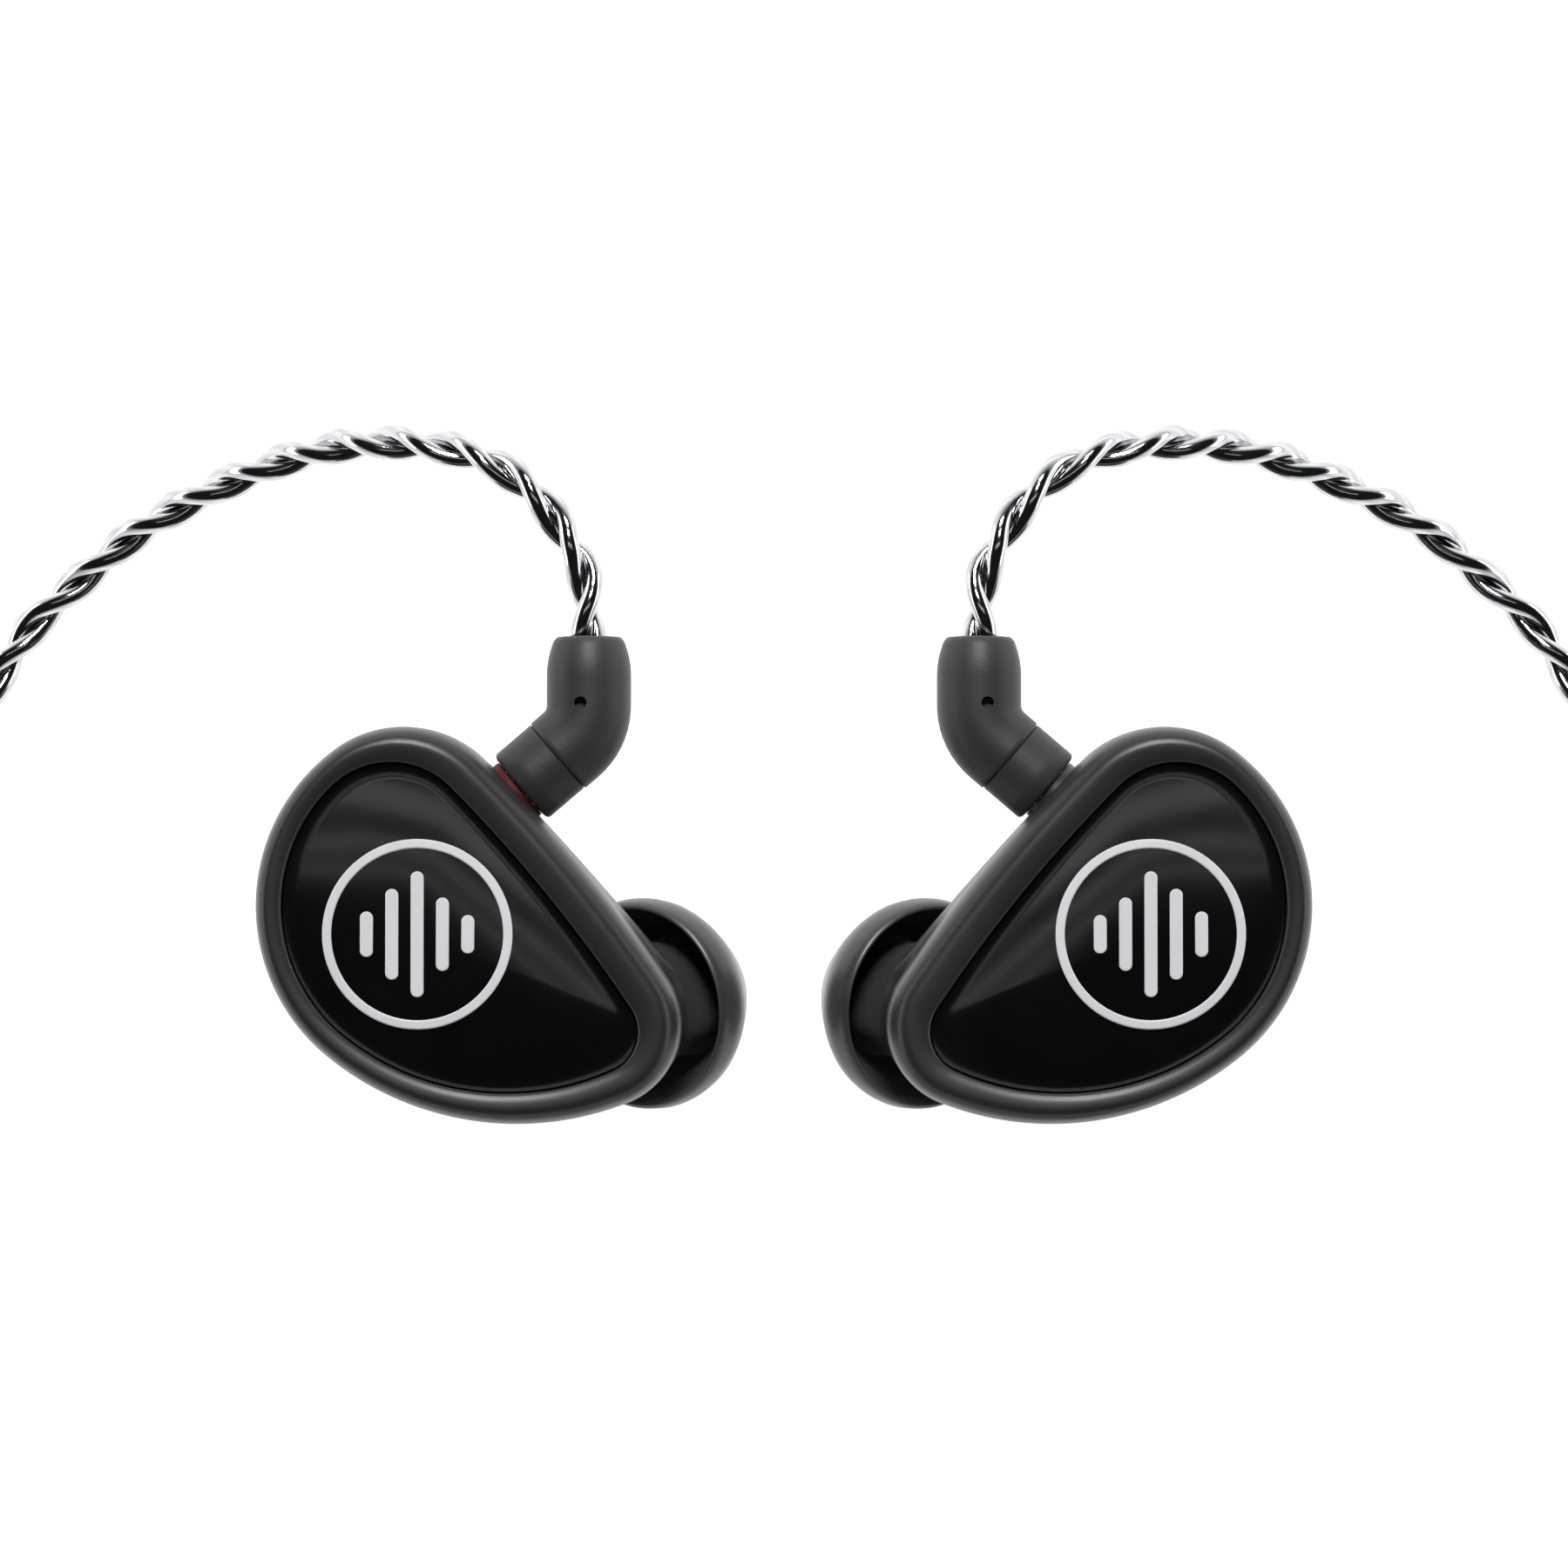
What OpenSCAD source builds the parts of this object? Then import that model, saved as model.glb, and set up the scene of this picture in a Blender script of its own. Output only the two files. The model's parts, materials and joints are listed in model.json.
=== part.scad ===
// A pair of wired in-ear monitors, faceplates up, with a detachable cable.
// Each earpiece is built in its own frame, whose origin is the centre of the
// round back edge of the shell. The right one stands at -X, the left one is
// its mirror image.

/* [Placing] */
// Distance of each earpiece from the middle plane
unit_x = 19.2; // [18:0.1:24]
// Earpiece position along Y
unit_y = -1.5; // [-3:0.1:0]

/* [Shell] */
// Depth from the seam to the nozzle root
shell_depth = 6.15; // [5.8:0.05:7]
// Height of the rim's crest above the seam
rim_height = 5.2; // [5:0.1:6.5]
// Wall thickness
wall = 1.0; // [0.8:0.1:1.2]

/* [Nozzle and ear tip] */
// Tilt of the nozzle from straight down
nozzle_tilt = 33; // [28:1:36]
// Direction of the tilt, seen from above
nozzle_turn = 12; // [6:1:18]
// Nozzle tube outer radius
nozzle_r = 2.5; // [2.3:0.05:2.6]
// Largest radius of the ear tip
tip_r = 6.3; // [5.6:0.1:6.5]

/* [Connector] */
// Direction of the connector, seen from above
plug_turn = 40.5; // [38:0.5:43]
// Distance of the socket's face from the earpiece origin
socket_out = 6.95; // [6.9:0.05:7.1]
// Sideways place of the connector on the shell's long edge
socket_side = 2.6; // [1.5:0.1:3.5]
// Contact pin radius of the two-pin plug
pin_r = 0.39; // [0.36:0.01:0.42]
// Elbow barrel radius
elbow_r = 2.45; // [2.3:0.05:2.6]

/* [Cable] */
// Diameter of one earpiece lead
lead_d = 2.15; // [1.8:0.05:2.3]
// Diameter of the main cable
main_d = 2.4; // [2.2:0.05:2.4]

/* [Hidden] */
skin = 0.06;

// ---------- outline of the shell, a closed chain of tangent arcs ----------
// Each row is [radius, end angle] of the back, bottom and lobe arcs, and the
// last row is the top arc that leads back to the first. A long flat arc of
// radius edge_r closes the gap between the lobe and the top.
shell_arcs = [[11.2, 231], [17.3, 291.7], [4.8, 400], [6.55, 126]];
plate_arcs = [[9.6, 231], [14.8, 294.4], [2.45, 400], [4.8, 134]];
edge_r = 85;

function dir(t) = [cos(t), sin(t)];
function join(c, r1, r2, t) = c + (r1 - r2) * dir(t);

// Centres of the four arcs: back, bottom, lobe, top
function centres(a) =
    let (c1 = join([0, 0], a[0][0], a[1][0], a[0][1]))
    [[0, 0], c1, join(c1, a[1][0], a[2][0], a[1][1]), join([0, 0], a[0][0], a[3][0], a[3][1])];

// Centre of the long edge arc, tangent to the lobe and to the top arc
function edge_centre(a) =
    let (c = centres(a), p = c[2], q = c[3], rp = edge_r - a[2][0], rq = edge_r - a[3][0],
         d = norm(q - p), x = (rp * rp - rq * rq + d * d) / (2 * d), h = sqrt(rp * rp - x * x),
         e = (q - p) / d)
    p + e * x + [e[1], -e[0]] * -h;

function heading(p, q) = atan2(q[1] - p[1], q[0] - p[0]);

function arc(c, r, t0, t1, n) = [for (i = [0:n - 1]) c + r * dir(t0 + (t1 - t0) * i / n)];

// Outline points, counter-clockwise, moved inwards by inset
function outline(a, inset) =
    let (c = centres(a), e = edge_centre(a), t_lobe = heading(e, c[2]), t_top = heading(e, c[3]))
    concat(
        arc([0, 0], a[0][0] - inset, a[3][1], a[0][1], 13),
        arc(c[1], a[1][0] - inset, a[0][1], a[1][1], 9),
        arc(c[2], a[2][0] - inset, a[1][1], t_lobe + 360, 11),
        arc(e, edge_r - inset, t_lobe, t_top, 6),
        arc(c[3], a[3][0] - inset, t_top, a[3][1], 9));

shell_edge = outline(shell_arcs, 0);
plate_rim = outline(plate_arcs, 0);
inner_edge = outline(shell_arcs, wall);
count = len(shell_edge);
belly = [1.5, -1.6];

function level(points, z) = [for (p = points) [p[0], p[1], z]];
function mix(p, q, k) = [for (i = [0:len(p) - 1]) p[i] * (1 - k) + q[i] * k];
function scaled(points, c, k, z) = [for (p = points) [c[0] + (p[0] - c[0]) * k, c[1] + (p[1] - c[1]) * k, z]];

// Faces between rings of equal size, closed into a tube or capped at the ends
function band(n, i, j) = [for (k = [0:n - 1]) each [
    [i * n + k, i * n + (k + 1) % n, j * n + (k + 1) % n],
    [i * n + k, j * n + (k + 1) % n, j * n + k]]];
module ring_of_rings(rings) {
    n = len(rings[0]);
    m = len(rings);
    polyhedron([for (r = rings) each r], [for (i = [0:m - 1]) each band(n, (i + 1) % m, i)], convexity = 6);
}
module stack_of_rings(rings) {
    n = len(rings[0]);
    m = len(rings);
    polyhedron([for (r = rings) each r], concat(
        [[for (k = [0:n - 1]) k]],
        [for (i = [0:m - 2]) each band(n, i + 1, i)],
        [[for (k = [n - 1:-1:0]) (m - 1) * n + k]]), convexity = 6);
}

// ---------- frames ----------
module right_unit() { translate([-unit_x, unit_y, 0]) children(); }
module left_side() { mirror([1, 0, 0]) children(); }

axis = [sin(nozzle_tilt) * cos(nozzle_turn), sin(nozzle_tilt) * sin(nozzle_turn), -cos(nozzle_tilt)];
side_a = [cos(nozzle_tilt) * cos(nozzle_turn), cos(nozzle_tilt) * sin(nozzle_turn), sin(nozzle_tilt)];
side_b = [-sin(nozzle_turn), cos(nozzle_turn), 0];

// The ear tip's outer profile as [radius, distance from the nozzle root]
tip_profile = [[tip_r - 0.25, 1.6], [tip_r, 2.8], [tip_r - 0.2, 3.7], [tip_r - 0.8, 4.9], [tip_r - 1.5, 6.1],
    [tip_r - 2.2, 7.3], [tip_r - 2.95, 8.4], [tip_r - 3.5, 9.1], [tip_r - 3.9, 9.3]];
root_z = max([for (p = tip_profile) p[1] * cos(nozzle_tilt) + p[0] * sin(nozzle_tilt)]);
root = [9.6, -6.3, root_z];
seam_z = root_z + shell_depth;
crest_z = seam_z + rim_height;
plate_low = crest_z - 2.1;
plate_edge = crest_z - 0.8;
plate_top = crest_z - 0.25;
root_r = 4.6;
root_bore = 3.0;

// Nozzle frame: origin at the root, +Z along the nozzle
module nozzle_frame() { translate(root) rotate([0, 180 - nozzle_tilt, nozzle_turn]) children(); }
// Connector frame: origin on the connector axis at the earpiece origin's level, +Z outwards
module plug_frame() {
    translate([-sin(plug_turn) * socket_side, cos(plug_turn) * socket_side, seam_z])
        rotate([0, 90, plug_turn]) children();
}

// ---------- shells ----------
function root_circle(r, back) = [for (p = shell_edge)
    let (t = heading(belly, p) - nozzle_turn)
    root - axis * back + r * (cos(t) * side_a + sin(t) * side_b)];

rear_steps = 8;
function loft(edge, circle, f) =
    let (b = 1 - cos(90 * f), q = sin(90 * f))
    [for (i = [0:count - 1]) [edge[i][0] * (1 - b) + circle[i][0] * b, edge[i][1] * (1 - b) + circle[i][1] * b,
        seam_z * (1 - q) + circle[i][2] * q]];

socket_r = 2.2;
socket_len = 4.4;

module socket_notch() { plug_frame() cylinder(r = socket_r, h = socket_out + 3, $fn = 48); }

module rear_shell() color([0.13, 0.13, 0.14]) difference() {
    ring_of_rings(concat(
        [for (i = [0:rear_steps]) loft(shell_edge, root_circle(root_r, 0), i / rear_steps)],
        [root_circle(root_bore, 0)],
        [for (i = [rear_steps:-1:0]) loft(inner_edge, root_circle(root_bore, wall), i / rear_steps)]));
    socket_notch();
}

rim_wall_z = seam_z + 2.3;
rim_steps = 4;
module front_shell() color([0.13, 0.13, 0.14]) difference() {
    ring_of_rings(concat(
        [level(inner_edge, seam_z), level(inner_edge, plate_low - 1.6),
         level(outline(plate_arcs, 0.7), plate_low - 0.8), level(outline(plate_arcs, 0.7), plate_low),
         level(plate_rim, plate_low)],
        [for (i = [0:rim_steps]) let (t = 90 - 90 * i / rim_steps)
            level(mix(shell_edge, plate_rim, 0.5 + 0.5 * sin(t)), plate_edge - 0.15 + (rim_height - 4.25) * cos(t))],
        [for (i = [1:rim_steps]) let (t = 90 * i / rim_steps)
            level(mix(shell_edge, plate_rim, 0.5 - 0.5 * sin(t)), rim_wall_z + (crest_z - rim_wall_z) * cos(t))],
        [level(shell_edge, seam_z)]));
    socket_notch();
}

emblem_at = [-1.8, -1.6];
emblem_r = 5.45;
module faceplate() color([0.05, 0.05, 0.06]) {
    stack_of_rings([
        level(outline(plate_arcs, skin), plate_low),
        level(outline(plate_arcs, skin), plate_edge - 0.1),
        level(outline(plate_arcs, skin + 0.2), plate_edge + 0.1),
        scaled(plate_rim, emblem_at, 0.88, plate_top - 0.12),
        scaled(plate_rim, emblem_at, 0.75, plate_top)]);
}

// A ring with five round-ended level bars
bar_heights = [2.6, 5.2, 7.2, 4.2, 2.2];
bar_w = 0.7;
bar_pitch = 1.45;
emblem_h = 0.25;
module emblem() color([0.8, 0.8, 0.82]) translate([emblem_at[0], emblem_at[1], plate_top]) {
    linear_extrude(emblem_h) difference() {
        circle(r = emblem_r, $fn = 96);
        circle(r = emblem_r - 0.5, $fn = 96);
    }
    for (i = [0:4]) translate([(i - 2) * bar_pitch, 0, 0]) linear_extrude(emblem_h) union() {
        square([bar_w, bar_heights[i] - bar_w], center = true);
        for (s = [-1, 1]) translate([0, s * (bar_heights[i] - bar_w) / 2]) circle(r = bar_w / 2, $fn = 24);
    }
}

// ---------- nozzle and ear tip ----------
nozzle_len = 5.6;
lip_r = nozzle_r + 0.22;
nozzle_bore = 2.0;
module nozzle() color([0.62, 0.62, 0.64]) nozzle_frame() rotate_extrude($fn = 64) polygon([
    [nozzle_bore, -1.2], [root_bore - skin, -1.2], [root_bore - skin, 0], [root_r - 0.3, 0], [root_r - 0.3, 0.5],
    [nozzle_r, 0.5], [nozzle_r, nozzle_len - 0.9], [lip_r, nozzle_len - 0.7], [lip_r, nozzle_len - 0.2],
    [lip_r - 0.2, nozzle_len], [nozzle_bore, nozzle_len]]);

module nozzle_screen() color([0.45, 0.45, 0.47]) nozzle_frame()
    translate([0, 0, nozzle_len - 0.45]) cylinder(r = nozzle_bore, h = 0.15, $fn = 48);

tip_core_r = 3.6;
tip_bore = lip_r + 0.02;
tip_skin = 0.6;
module ear_tip() color([0.2, 0.2, 0.21]) nozzle_frame() rotate_extrude($fn = 96) polygon(concat(
    tip_profile,
    [[1.9, 9.3], [1.9, nozzle_len + 0.3], [tip_bore, nozzle_len + 0.3], [tip_bore, 0.7], [tip_core_r, 0.7],
     [tip_core_r - 0.3, 6.6]],
    [for (i = [4:-1:0]) tip_profile[i] - [tip_skin, i == 0 ? 0 : 0.1]]));

// ---------- connector ----------
pin_gap = 0.9;
pin_len = 4.0;
contact_r = 0.62;
collar_face = socket_out + 0.45;
module pin_pair() { for (s = [-1, 1]) translate([0, s * pin_gap, 0]) children(); }

module socket_block() color([0.1, 0.1, 0.1]) plug_frame() difference() {
    translate([0, 0, socket_out - socket_len]) cylinder(r = socket_r, h = socket_len, $fn = 48);
    translate([0, 0, socket_out - socket_len - 1]) pin_pair() cylinder(r = contact_r, h = socket_len + 2, $fn = 32);
}
module socket_contacts() color("gold") plug_frame() translate([0, 0, socket_out - socket_len]) pin_pair()
    difference() {
        cylinder(r = contact_r, h = socket_len - 0.05, $fn = 32);
        translate([0, 0, 0.3]) cylinder(r = pin_r + 0.02, h = socket_len, $fn = 32);
    }
module socket_ring(tint) color(tint) plug_frame() translate([0, 0, socket_out]) difference() {
    cylinder(r = 1.95, h = 0.4, $fn = 48);
    translate([0, 0, -1]) cylinder(r = 1.45, h = 3, $fn = 48);
}
module plug_pins() color("gold") plug_frame() translate([0, 0, collar_face - pin_len]) pin_pair()
    cylinder(r = pin_r, h = pin_len, $fn = 32);

// The elbow's corner, from the collar's face back along the connector axis
arm_len = 5.2;
collar_len = 2.8;
bend = 90 - plug_turn;
bend_r = 3.0;
bend_cut = bend_r * tan(bend / 2);
barrel_len = 3.1;
taper_len = 1.95;
boot_r = 1.85;
module elbow_collar() color([0.2, 0.2, 0.21]) plug_frame() translate([0, 0, collar_face])
    rotate_extrude($fn = 64) polygon([[0, 0], [elbow_r - 0.3, 0], [elbow_r - 0.1, 0.2], [elbow_r - 0.1, collar_len - 0.1],
        [elbow_r - 0.25, collar_len], [0, collar_len]]);
module elbow() color([0.24, 0.24, 0.25]) plug_frame() translate([0, 0, collar_face + arm_len - bend_cut]) {
    translate([0, 0, collar_len + bend_cut - arm_len]) cylinder(r = elbow_r, h = arm_len - bend_cut - collar_len, $fn = 64);
    translate([0, bend_r, 0]) rotate([90, 0, -90]) rotate_extrude(angle = bend, $fn = 64)
        translate([bend_r, 0]) circle(r = elbow_r, $fn = 64);
    translate([0, bend_r * (1 - cos(bend)), bend_r * sin(bend)]) rotate([-bend, 0, 0]) rotate_extrude($fn = 64) polygon([
        [0, 0], [elbow_r, 0], [elbow_r, barrel_len - bend_cut], [elbow_r - 0.12, barrel_len - bend_cut + 0.7],
        [boot_r, barrel_len - bend_cut + taper_len], [0, barrel_len - bend_cut + taper_len]]);
}

// ---------- drivers ----------
driver_at = [-2.4, -1.6, seam_z - 2.7];
driver_r = 4.6;
module driver_place() { translate(driver_at) children(); }
module tube(r_out, r_in, h) {
    difference() {
        cylinder(r = r_out, h = h, $fn = 64);
        translate([0, 0, -1]) cylinder(r = r_in, h = h + 2, $fn = 64);
    }
}
module driver_frame() color([0.7, 0.6, 0.35]) driver_place() rotate_extrude($fn = 64) polygon([
    [driver_r - 0.8, 0], [driver_r, 0], [driver_r, 2.6], [driver_r - 0.3, 2.6], [driver_r - 0.3, 0.3], [driver_r - 0.8, 0.3]]);
module diaphragm() color([0.85, 0.85, 0.8]) driver_place() rotate_extrude($fn = 64) polygon([
    [0, 0.35], [1.2, 0.45], [1.9, 0.7], [2.6, 0.4], [3.5, 0.5], [4.25, 0.32], [4.25, 0.42], [3.5, 0.6], [2.6, 0.5],
    [1.9, 0.8], [1.2, 0.55], [0, 0.45]]);
module voice_coil() color([0.7, 0.35, 0.2]) driver_place() translate([0, 0, 0.82]) tube(2.0, 1.85, 1.2);
module driver_magnet() color([0.6, 0.6, 0.62]) driver_place() translate([0, 0, 1.0]) cylinder(r = 1.7, h = 1.4, $fn = 48);
module driver_yoke() color([0.5, 0.5, 0.52]) driver_place() rotate_extrude($fn = 64) polygon([
    [0, 2.4], [2.2, 2.4], [2.2, 1.0], [2.9, 1.0], [2.9, 2.2], [driver_r - 0.3, 2.2], [driver_r - 0.3, 2.6], [0, 2.6]]);

armature_back = 3.0;
armature_len = 5.6;
module armature_driver() color([0.75, 0.75, 0.78]) nozzle_frame() {
    translate([-1.3, -2.0, -armature_back - armature_len]) cube([2.6, 4.0, armature_len]);
    translate([0, 0, -armature_back]) cylinder(r = 0.7, h = 0.8, $fn = 32);
}
tube_r = 1.1;
module sound_tube() color([0.8, 0.85, 0.9]) nozzle_frame() translate([0, 0, -armature_back + 0.05]) tube(tube_r, 0.72, 4.4);
module damper() color([0.2, 0.5, 0.3]) nozzle_frame() translate([0, 0, 0.2]) cylinder(r = 0.72, h = 0.5, $fn = 32);

board_at = [-2.5, -2.0, seam_z + 0.9];
module crossover_board() color([0.1, 0.35, 0.2]) translate(board_at) {
    translate([-4, -2.6, 0]) cube([8, 5.2, 0.6]);
    for (p = [[-3.2, -1.6], [-1.0, 0.4], [1.4, -1.4]]) translate([p[0], p[1], 0.6]) cube([1.6, 0.9, 0.6]);
}

// Two straight wires from the socket's contacts up to the board
wire_r = 0.16;
socket_back = socket_out - socket_len;
function plug_point(side, out) = [
    out * cos(plug_turn) - (socket_side + side) * sin(plug_turn),
    out * sin(plug_turn) + (socket_side + side) * cos(plug_turn), seam_z];
module rod(p, q, r) {
    v = q - p;
    translate(p) rotate([0, acos(v[2] / norm(v)), atan2(v[1], v[0])]) cylinder(r = r, h = norm(v), $fn = 16);
}
module hookup_wires() color("firebrick") for (s = [-1, 1])
    rod(plug_point(s * pin_gap, socket_back - 0.25), board_at + [1.2 - s * 0.8, 1.4, -0.2], wire_r);

// ---------- cable ----------
elbow_end = plug_point(0, collar_face + arm_len) + [-unit_x, unit_y + barrel_len + taper_len, 0];
lead_r = lead_d / 2;
main_r = main_d / 2;

// Tube rings of eight points, one at each point of the route
function tangent(p, i) = let (v = p[min(i + 1, len(p) - 1)] - p[max(i - 1, 0)]) v / norm(v);
function cross_ring(c, t, r) =
    let (a = [t[1], -t[0], 0] / norm([t[0], t[1]]), b = cross(t, a))
    [for (k = [0:7]) c + r * (cos(45 * k) * a + sin(45 * k) * b)];
module cord(p, r) { stack_of_rings([for (i = [0:len(p) - 1]) cross_ring(p[i], tangent(p, i), r)]); }

// Routes of the stretches that aren't coiled
right_route = [elbow_end, elbow_end + [0, 0.4, 0], [-11.6, 17.7, 15.1], [-12.6, 19.7, 15], [-14.4, 22.3, 14.6],
    [-17.4, 24.4, 13.6], [-20.9, 25.3, 12],
    [-24.5, 25.5, 10.1], [-27.8, 25.1, 8.2], [-31.4, 24, 6.3], [-35, 22.5, 4.6], [-38.5, 20.6, 3.1], [-41.4, 18.3, 2],
    [-43.7, 16.3, 1.4], [-45.5, 14.3, 1.2], [-47.6, 11, 1.2], [-49, 7, 1.2], [-49.6, 2, 1.2], [-49.6, -8, 1.2],
    [-49.6, -20, 1.2], [-49.6, -32, 1.2], [-49.6, -43, 1.2], [-49.4, -51, 1.2], [-48.2, -57.8, 1.2], [-45, -64.2, 1.2],
    [-39.6, -68.4, 1.2], [-33, -70.1, 1.2], [-25, -70.4, 1.2], [-17, -70.4, 1.4], [-10, -70.2, 3.1], [-3, -69.6, 5.4],
    [3, -68.8, 6.4], [9, -67.8, 6.4]];
left_route = [[-elbow_end[0], elbow_end[1], elbow_end[2]], [-elbow_end[0], elbow_end[1] + 0.4, elbow_end[2]],
    [11.6, 17.7, 15.1], [12.6, 19.7, 15], [14.4, 22.3, 14.6],
    [17.4, 24.4, 13.6], [20.9, 25.3, 12], [24.5, 25.5, 10.1], [27.8, 25.1, 8.2], [31.4, 24, 6.3], [35, 22.5, 4.6],
    [38.5, 20.6, 3.1], [41.4, 18.3, 2], [43.7, 16.3, 1.4], [45.5, 14.3, 1.2], [47.6, 11, 1.2], [49, 7, 1.2],
    [49.6, 2, 1.2], [49.6, -8, 1.2], [49.6, -18, 1.4], [49.6, -27, 2.6], [49.4, -33.5, 4.4], [49, -39, 5.7],
    [46, -43, 6.4], [40.5, -44, 6.4], [33, -43.8, 6.4]];
right_exit = [[9, -48.6, 8.4], [2, -48.8, 7.8], [-3, -49.8, 5.8], [-8, -51.4, 3.6], [-12.5, -51.9, 2.7], [-23, -51.9, 2.7]];
left_exit = [[9, -51, 8.4], [2, -51.2, 7.8], [-3, -52.2, 5.8], [-8, -53.7, 3.6], [-12.5, -54.2, 2.7], [-23, -54.2, 2.7]];
pair_y = -53.05;
pair_z = 2.7;
main_entry = [[-34.1, pair_y, pair_z], [-37.5, -53.3, 2.2], [-41.4, -55.4, 1.4], [-43.2, -59.4, 1.3], [-41.6, -63.6, 1.3],
    [-37.6, -66.2, 1.3], [-32, -67.3, 1.3], [-24, -67.8, 1.3], [-14, -67.8, 1.3], [-4, -67.8, 1.4], [9, -67.8, 1.75]];
plug_at = [-3, -45, 3.4];
main_exit = [[9, -43.8, 4.0], [5.5, -43.9, 3.8], [1.5, -44.7, 3.5], plug_at + [0.1, 0, 0]];

// Hank: straight runs with round ends, leads on top of the main cable
hank_at = [21, -55.8];
hank_run = 24;
hank_in = 3.6;
hank_out = 13.2;
strap_t = 0.4;
module slot(r) {
    square([hank_run, 2 * r], center = true);
    for (s = [-1, 1]) translate([s * hank_run / 2, 0]) circle(r = r, $fn = 64);
}
module hank(low, high) {
    translate([hank_at[0], hank_at[1], low]) linear_extrude(high - low) difference() {
        slot(hank_out);
        slot(hank_in);
    }
}
hank_low = strap_t + 0.05;
main_hank_h = hank_low + 4.75;
lead_hank_h = main_hank_h + 4.3;
module main_hank() color([0.72, 0.72, 0.74]) hank(hank_low, main_hank_h);
module leads_hank() color([0.72, 0.72, 0.74]) hank(main_hank_h, lead_hank_h);
// Flat strap that ties the hank across its middle
strap_w = 7;
strap_gap = 0.05;
module hank_strap() color([0.08, 0.08, 0.09]) translate([hank_at[0] - strap_w / 2, hank_at[1], 0])
    rotate([90, 0, 90]) linear_extrude(strap_w) difference() {
        translate([-hank_out - strap_gap - strap_t, 0])
            square([2 * (hank_out + strap_gap + strap_t), lead_hank_h + strap_gap + strap_t]);
        translate([-hank_out - strap_gap, strap_t]) square([2 * (hank_out + strap_gap), lead_hank_h + strap_gap - strap_t]);
    }
module outside_hanks() {
    difference() {
        children();
        hank(0, lead_hank_h);
    }
}
module right_lead() color([0.75, 0.75, 0.77]) outside_hanks() { cord(right_route, lead_r); cord(right_exit, lead_r); }
module left_lead() color([0.75, 0.75, 0.77]) outside_hanks() { cord(left_route, lead_r); cord(left_exit, lead_r); }
module main_lead() color([0.72, 0.72, 0.74]) outside_hanks() { cord(main_entry, main_r); cord(main_exit, main_r); }

slider_x = -18.6;
slider_len = 4.2;
module chin_slider() color([0.12, 0.12, 0.13]) translate([slider_x, pair_y, pair_z]) rotate([0, 90, 0]) difference() {
    linear_extrude(slider_len, center = true) union() {
        square([4.6, 2.3], center = true);
        for (s = [-1, 1]) translate([0, s * 1.15]) circle(r = 2.3, $fn = 48);
    }
    for (s = [-1, 1]) translate([0, s * 1.15, 0]) cylinder(r = lead_r + 0.06, h = slider_len + 2, center = true, $fn = 32);
}
splitter_len = 11;
module splitter() color([0.12, 0.12, 0.13]) translate([-23, pair_y, pair_z]) rotate([0, -90, 0]) rotate_extrude($fn = 64)
    polygon([[0, 0], [2.3, 0], [2.7, 0.4], [2.7, 8.2], [2.3, 9], [1.7, splitter_len], [0, splitter_len]]);

// Straight plug, pointing to -X
boot_len = 7;
barrel_end = 20;
contact_end = 34;
jack_r = 1.75;
module plug_place() { translate(plug_at) rotate([0, -90, 0]) children(); }
module plug_boot() color([0.12, 0.12, 0.13]) plug_place() rotate_extrude($fn = 64) polygon([
    [0, 0], [1.6, 0], [2.3, boot_len - 0.6], [2.3, boot_len], [0, boot_len]]);
module plug_barrel() color([0.15, 0.15, 0.16]) plug_place() translate([0, 0, boot_len]) rotate_extrude($fn = 64) polygon([
    [0, 0], [2.9, 0], [3.1, 0.3], [3.1, 11.6], [2.6, 12.4], [2.6, barrel_end - boot_len], [0, barrel_end - boot_len]]);
module plug_ring(low, high) { translate([0, 0, low]) cylinder(r = jack_r, h = high - low, $fn = 64); }
module jack_contacts() color("gold") plug_place() {
    plug_ring(barrel_end, 24.8);
    plug_ring(25.4, 27.6);
    rotate_extrude($fn = 64) polygon([[0, 28.2], [jack_r, 28.2], [jack_r, 30.4], [1.25, 31.2], [jack_r - 0.05, 32.1],
        [0.5, contact_end], [0, contact_end]]);
}
module jack_insulators() color([0.05, 0.05, 0.05]) plug_place() { plug_ring(24.8, 25.4); plug_ring(27.6, 28.2); }

// ---------- drawing ----------
red = [0.45, 0.02, 0.02];
dark = [0.08, 0.08, 0.09];
SIDE_PARTS = ["front_shell", "rear_shell", "faceplate", "emblem", "nozzle", "nozzle_screen", "ear_tip", "socket_block",
    "socket_ring", "socket_contacts", "driver_frame", "diaphragm", "voice_coil", "driver_magnet", "driver_yoke",
    "armature_driver", "sound_tube", "damper", "crossover_board", "hookup_wires", "elbow", "elbow_collar", "plug_pins"];
CABLE_PARTS = ["right_lead", "left_lead", "leads_hank", "hank_strap", "chin_slider", "splitter", "main_lead", "main_hank",
    "plug_boot", "plug_barrel", "jack_contacts", "jack_insulators"];
right_unit() front_shell();  // right_front_shell
right_unit() rear_shell();  // right_rear_shell
right_unit() faceplate();  // right_faceplate
right_unit() emblem();  // right_emblem
right_unit() nozzle();  // right_nozzle
right_unit() nozzle_screen();  // right_nozzle_screen
right_unit() ear_tip();  // right_ear_tip
right_unit() socket_block();  // right_socket_block
right_unit() socket_ring(red);  // right_socket_ring
right_unit() socket_contacts();  // right_socket_contacts
right_unit() driver_frame();  // right_driver_frame
right_unit() diaphragm();  // right_diaphragm
right_unit() voice_coil();  // right_voice_coil
right_unit() driver_magnet();  // right_driver_magnet
right_unit() driver_yoke();  // right_driver_yoke
right_unit() armature_driver();  // right_armature_driver
right_unit() sound_tube();  // right_sound_tube
right_unit() damper();  // right_damper
right_unit() crossover_board();  // right_crossover_board
right_unit() hookup_wires();  // right_hookup_wires
right_unit() elbow();  // right_elbow
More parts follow.
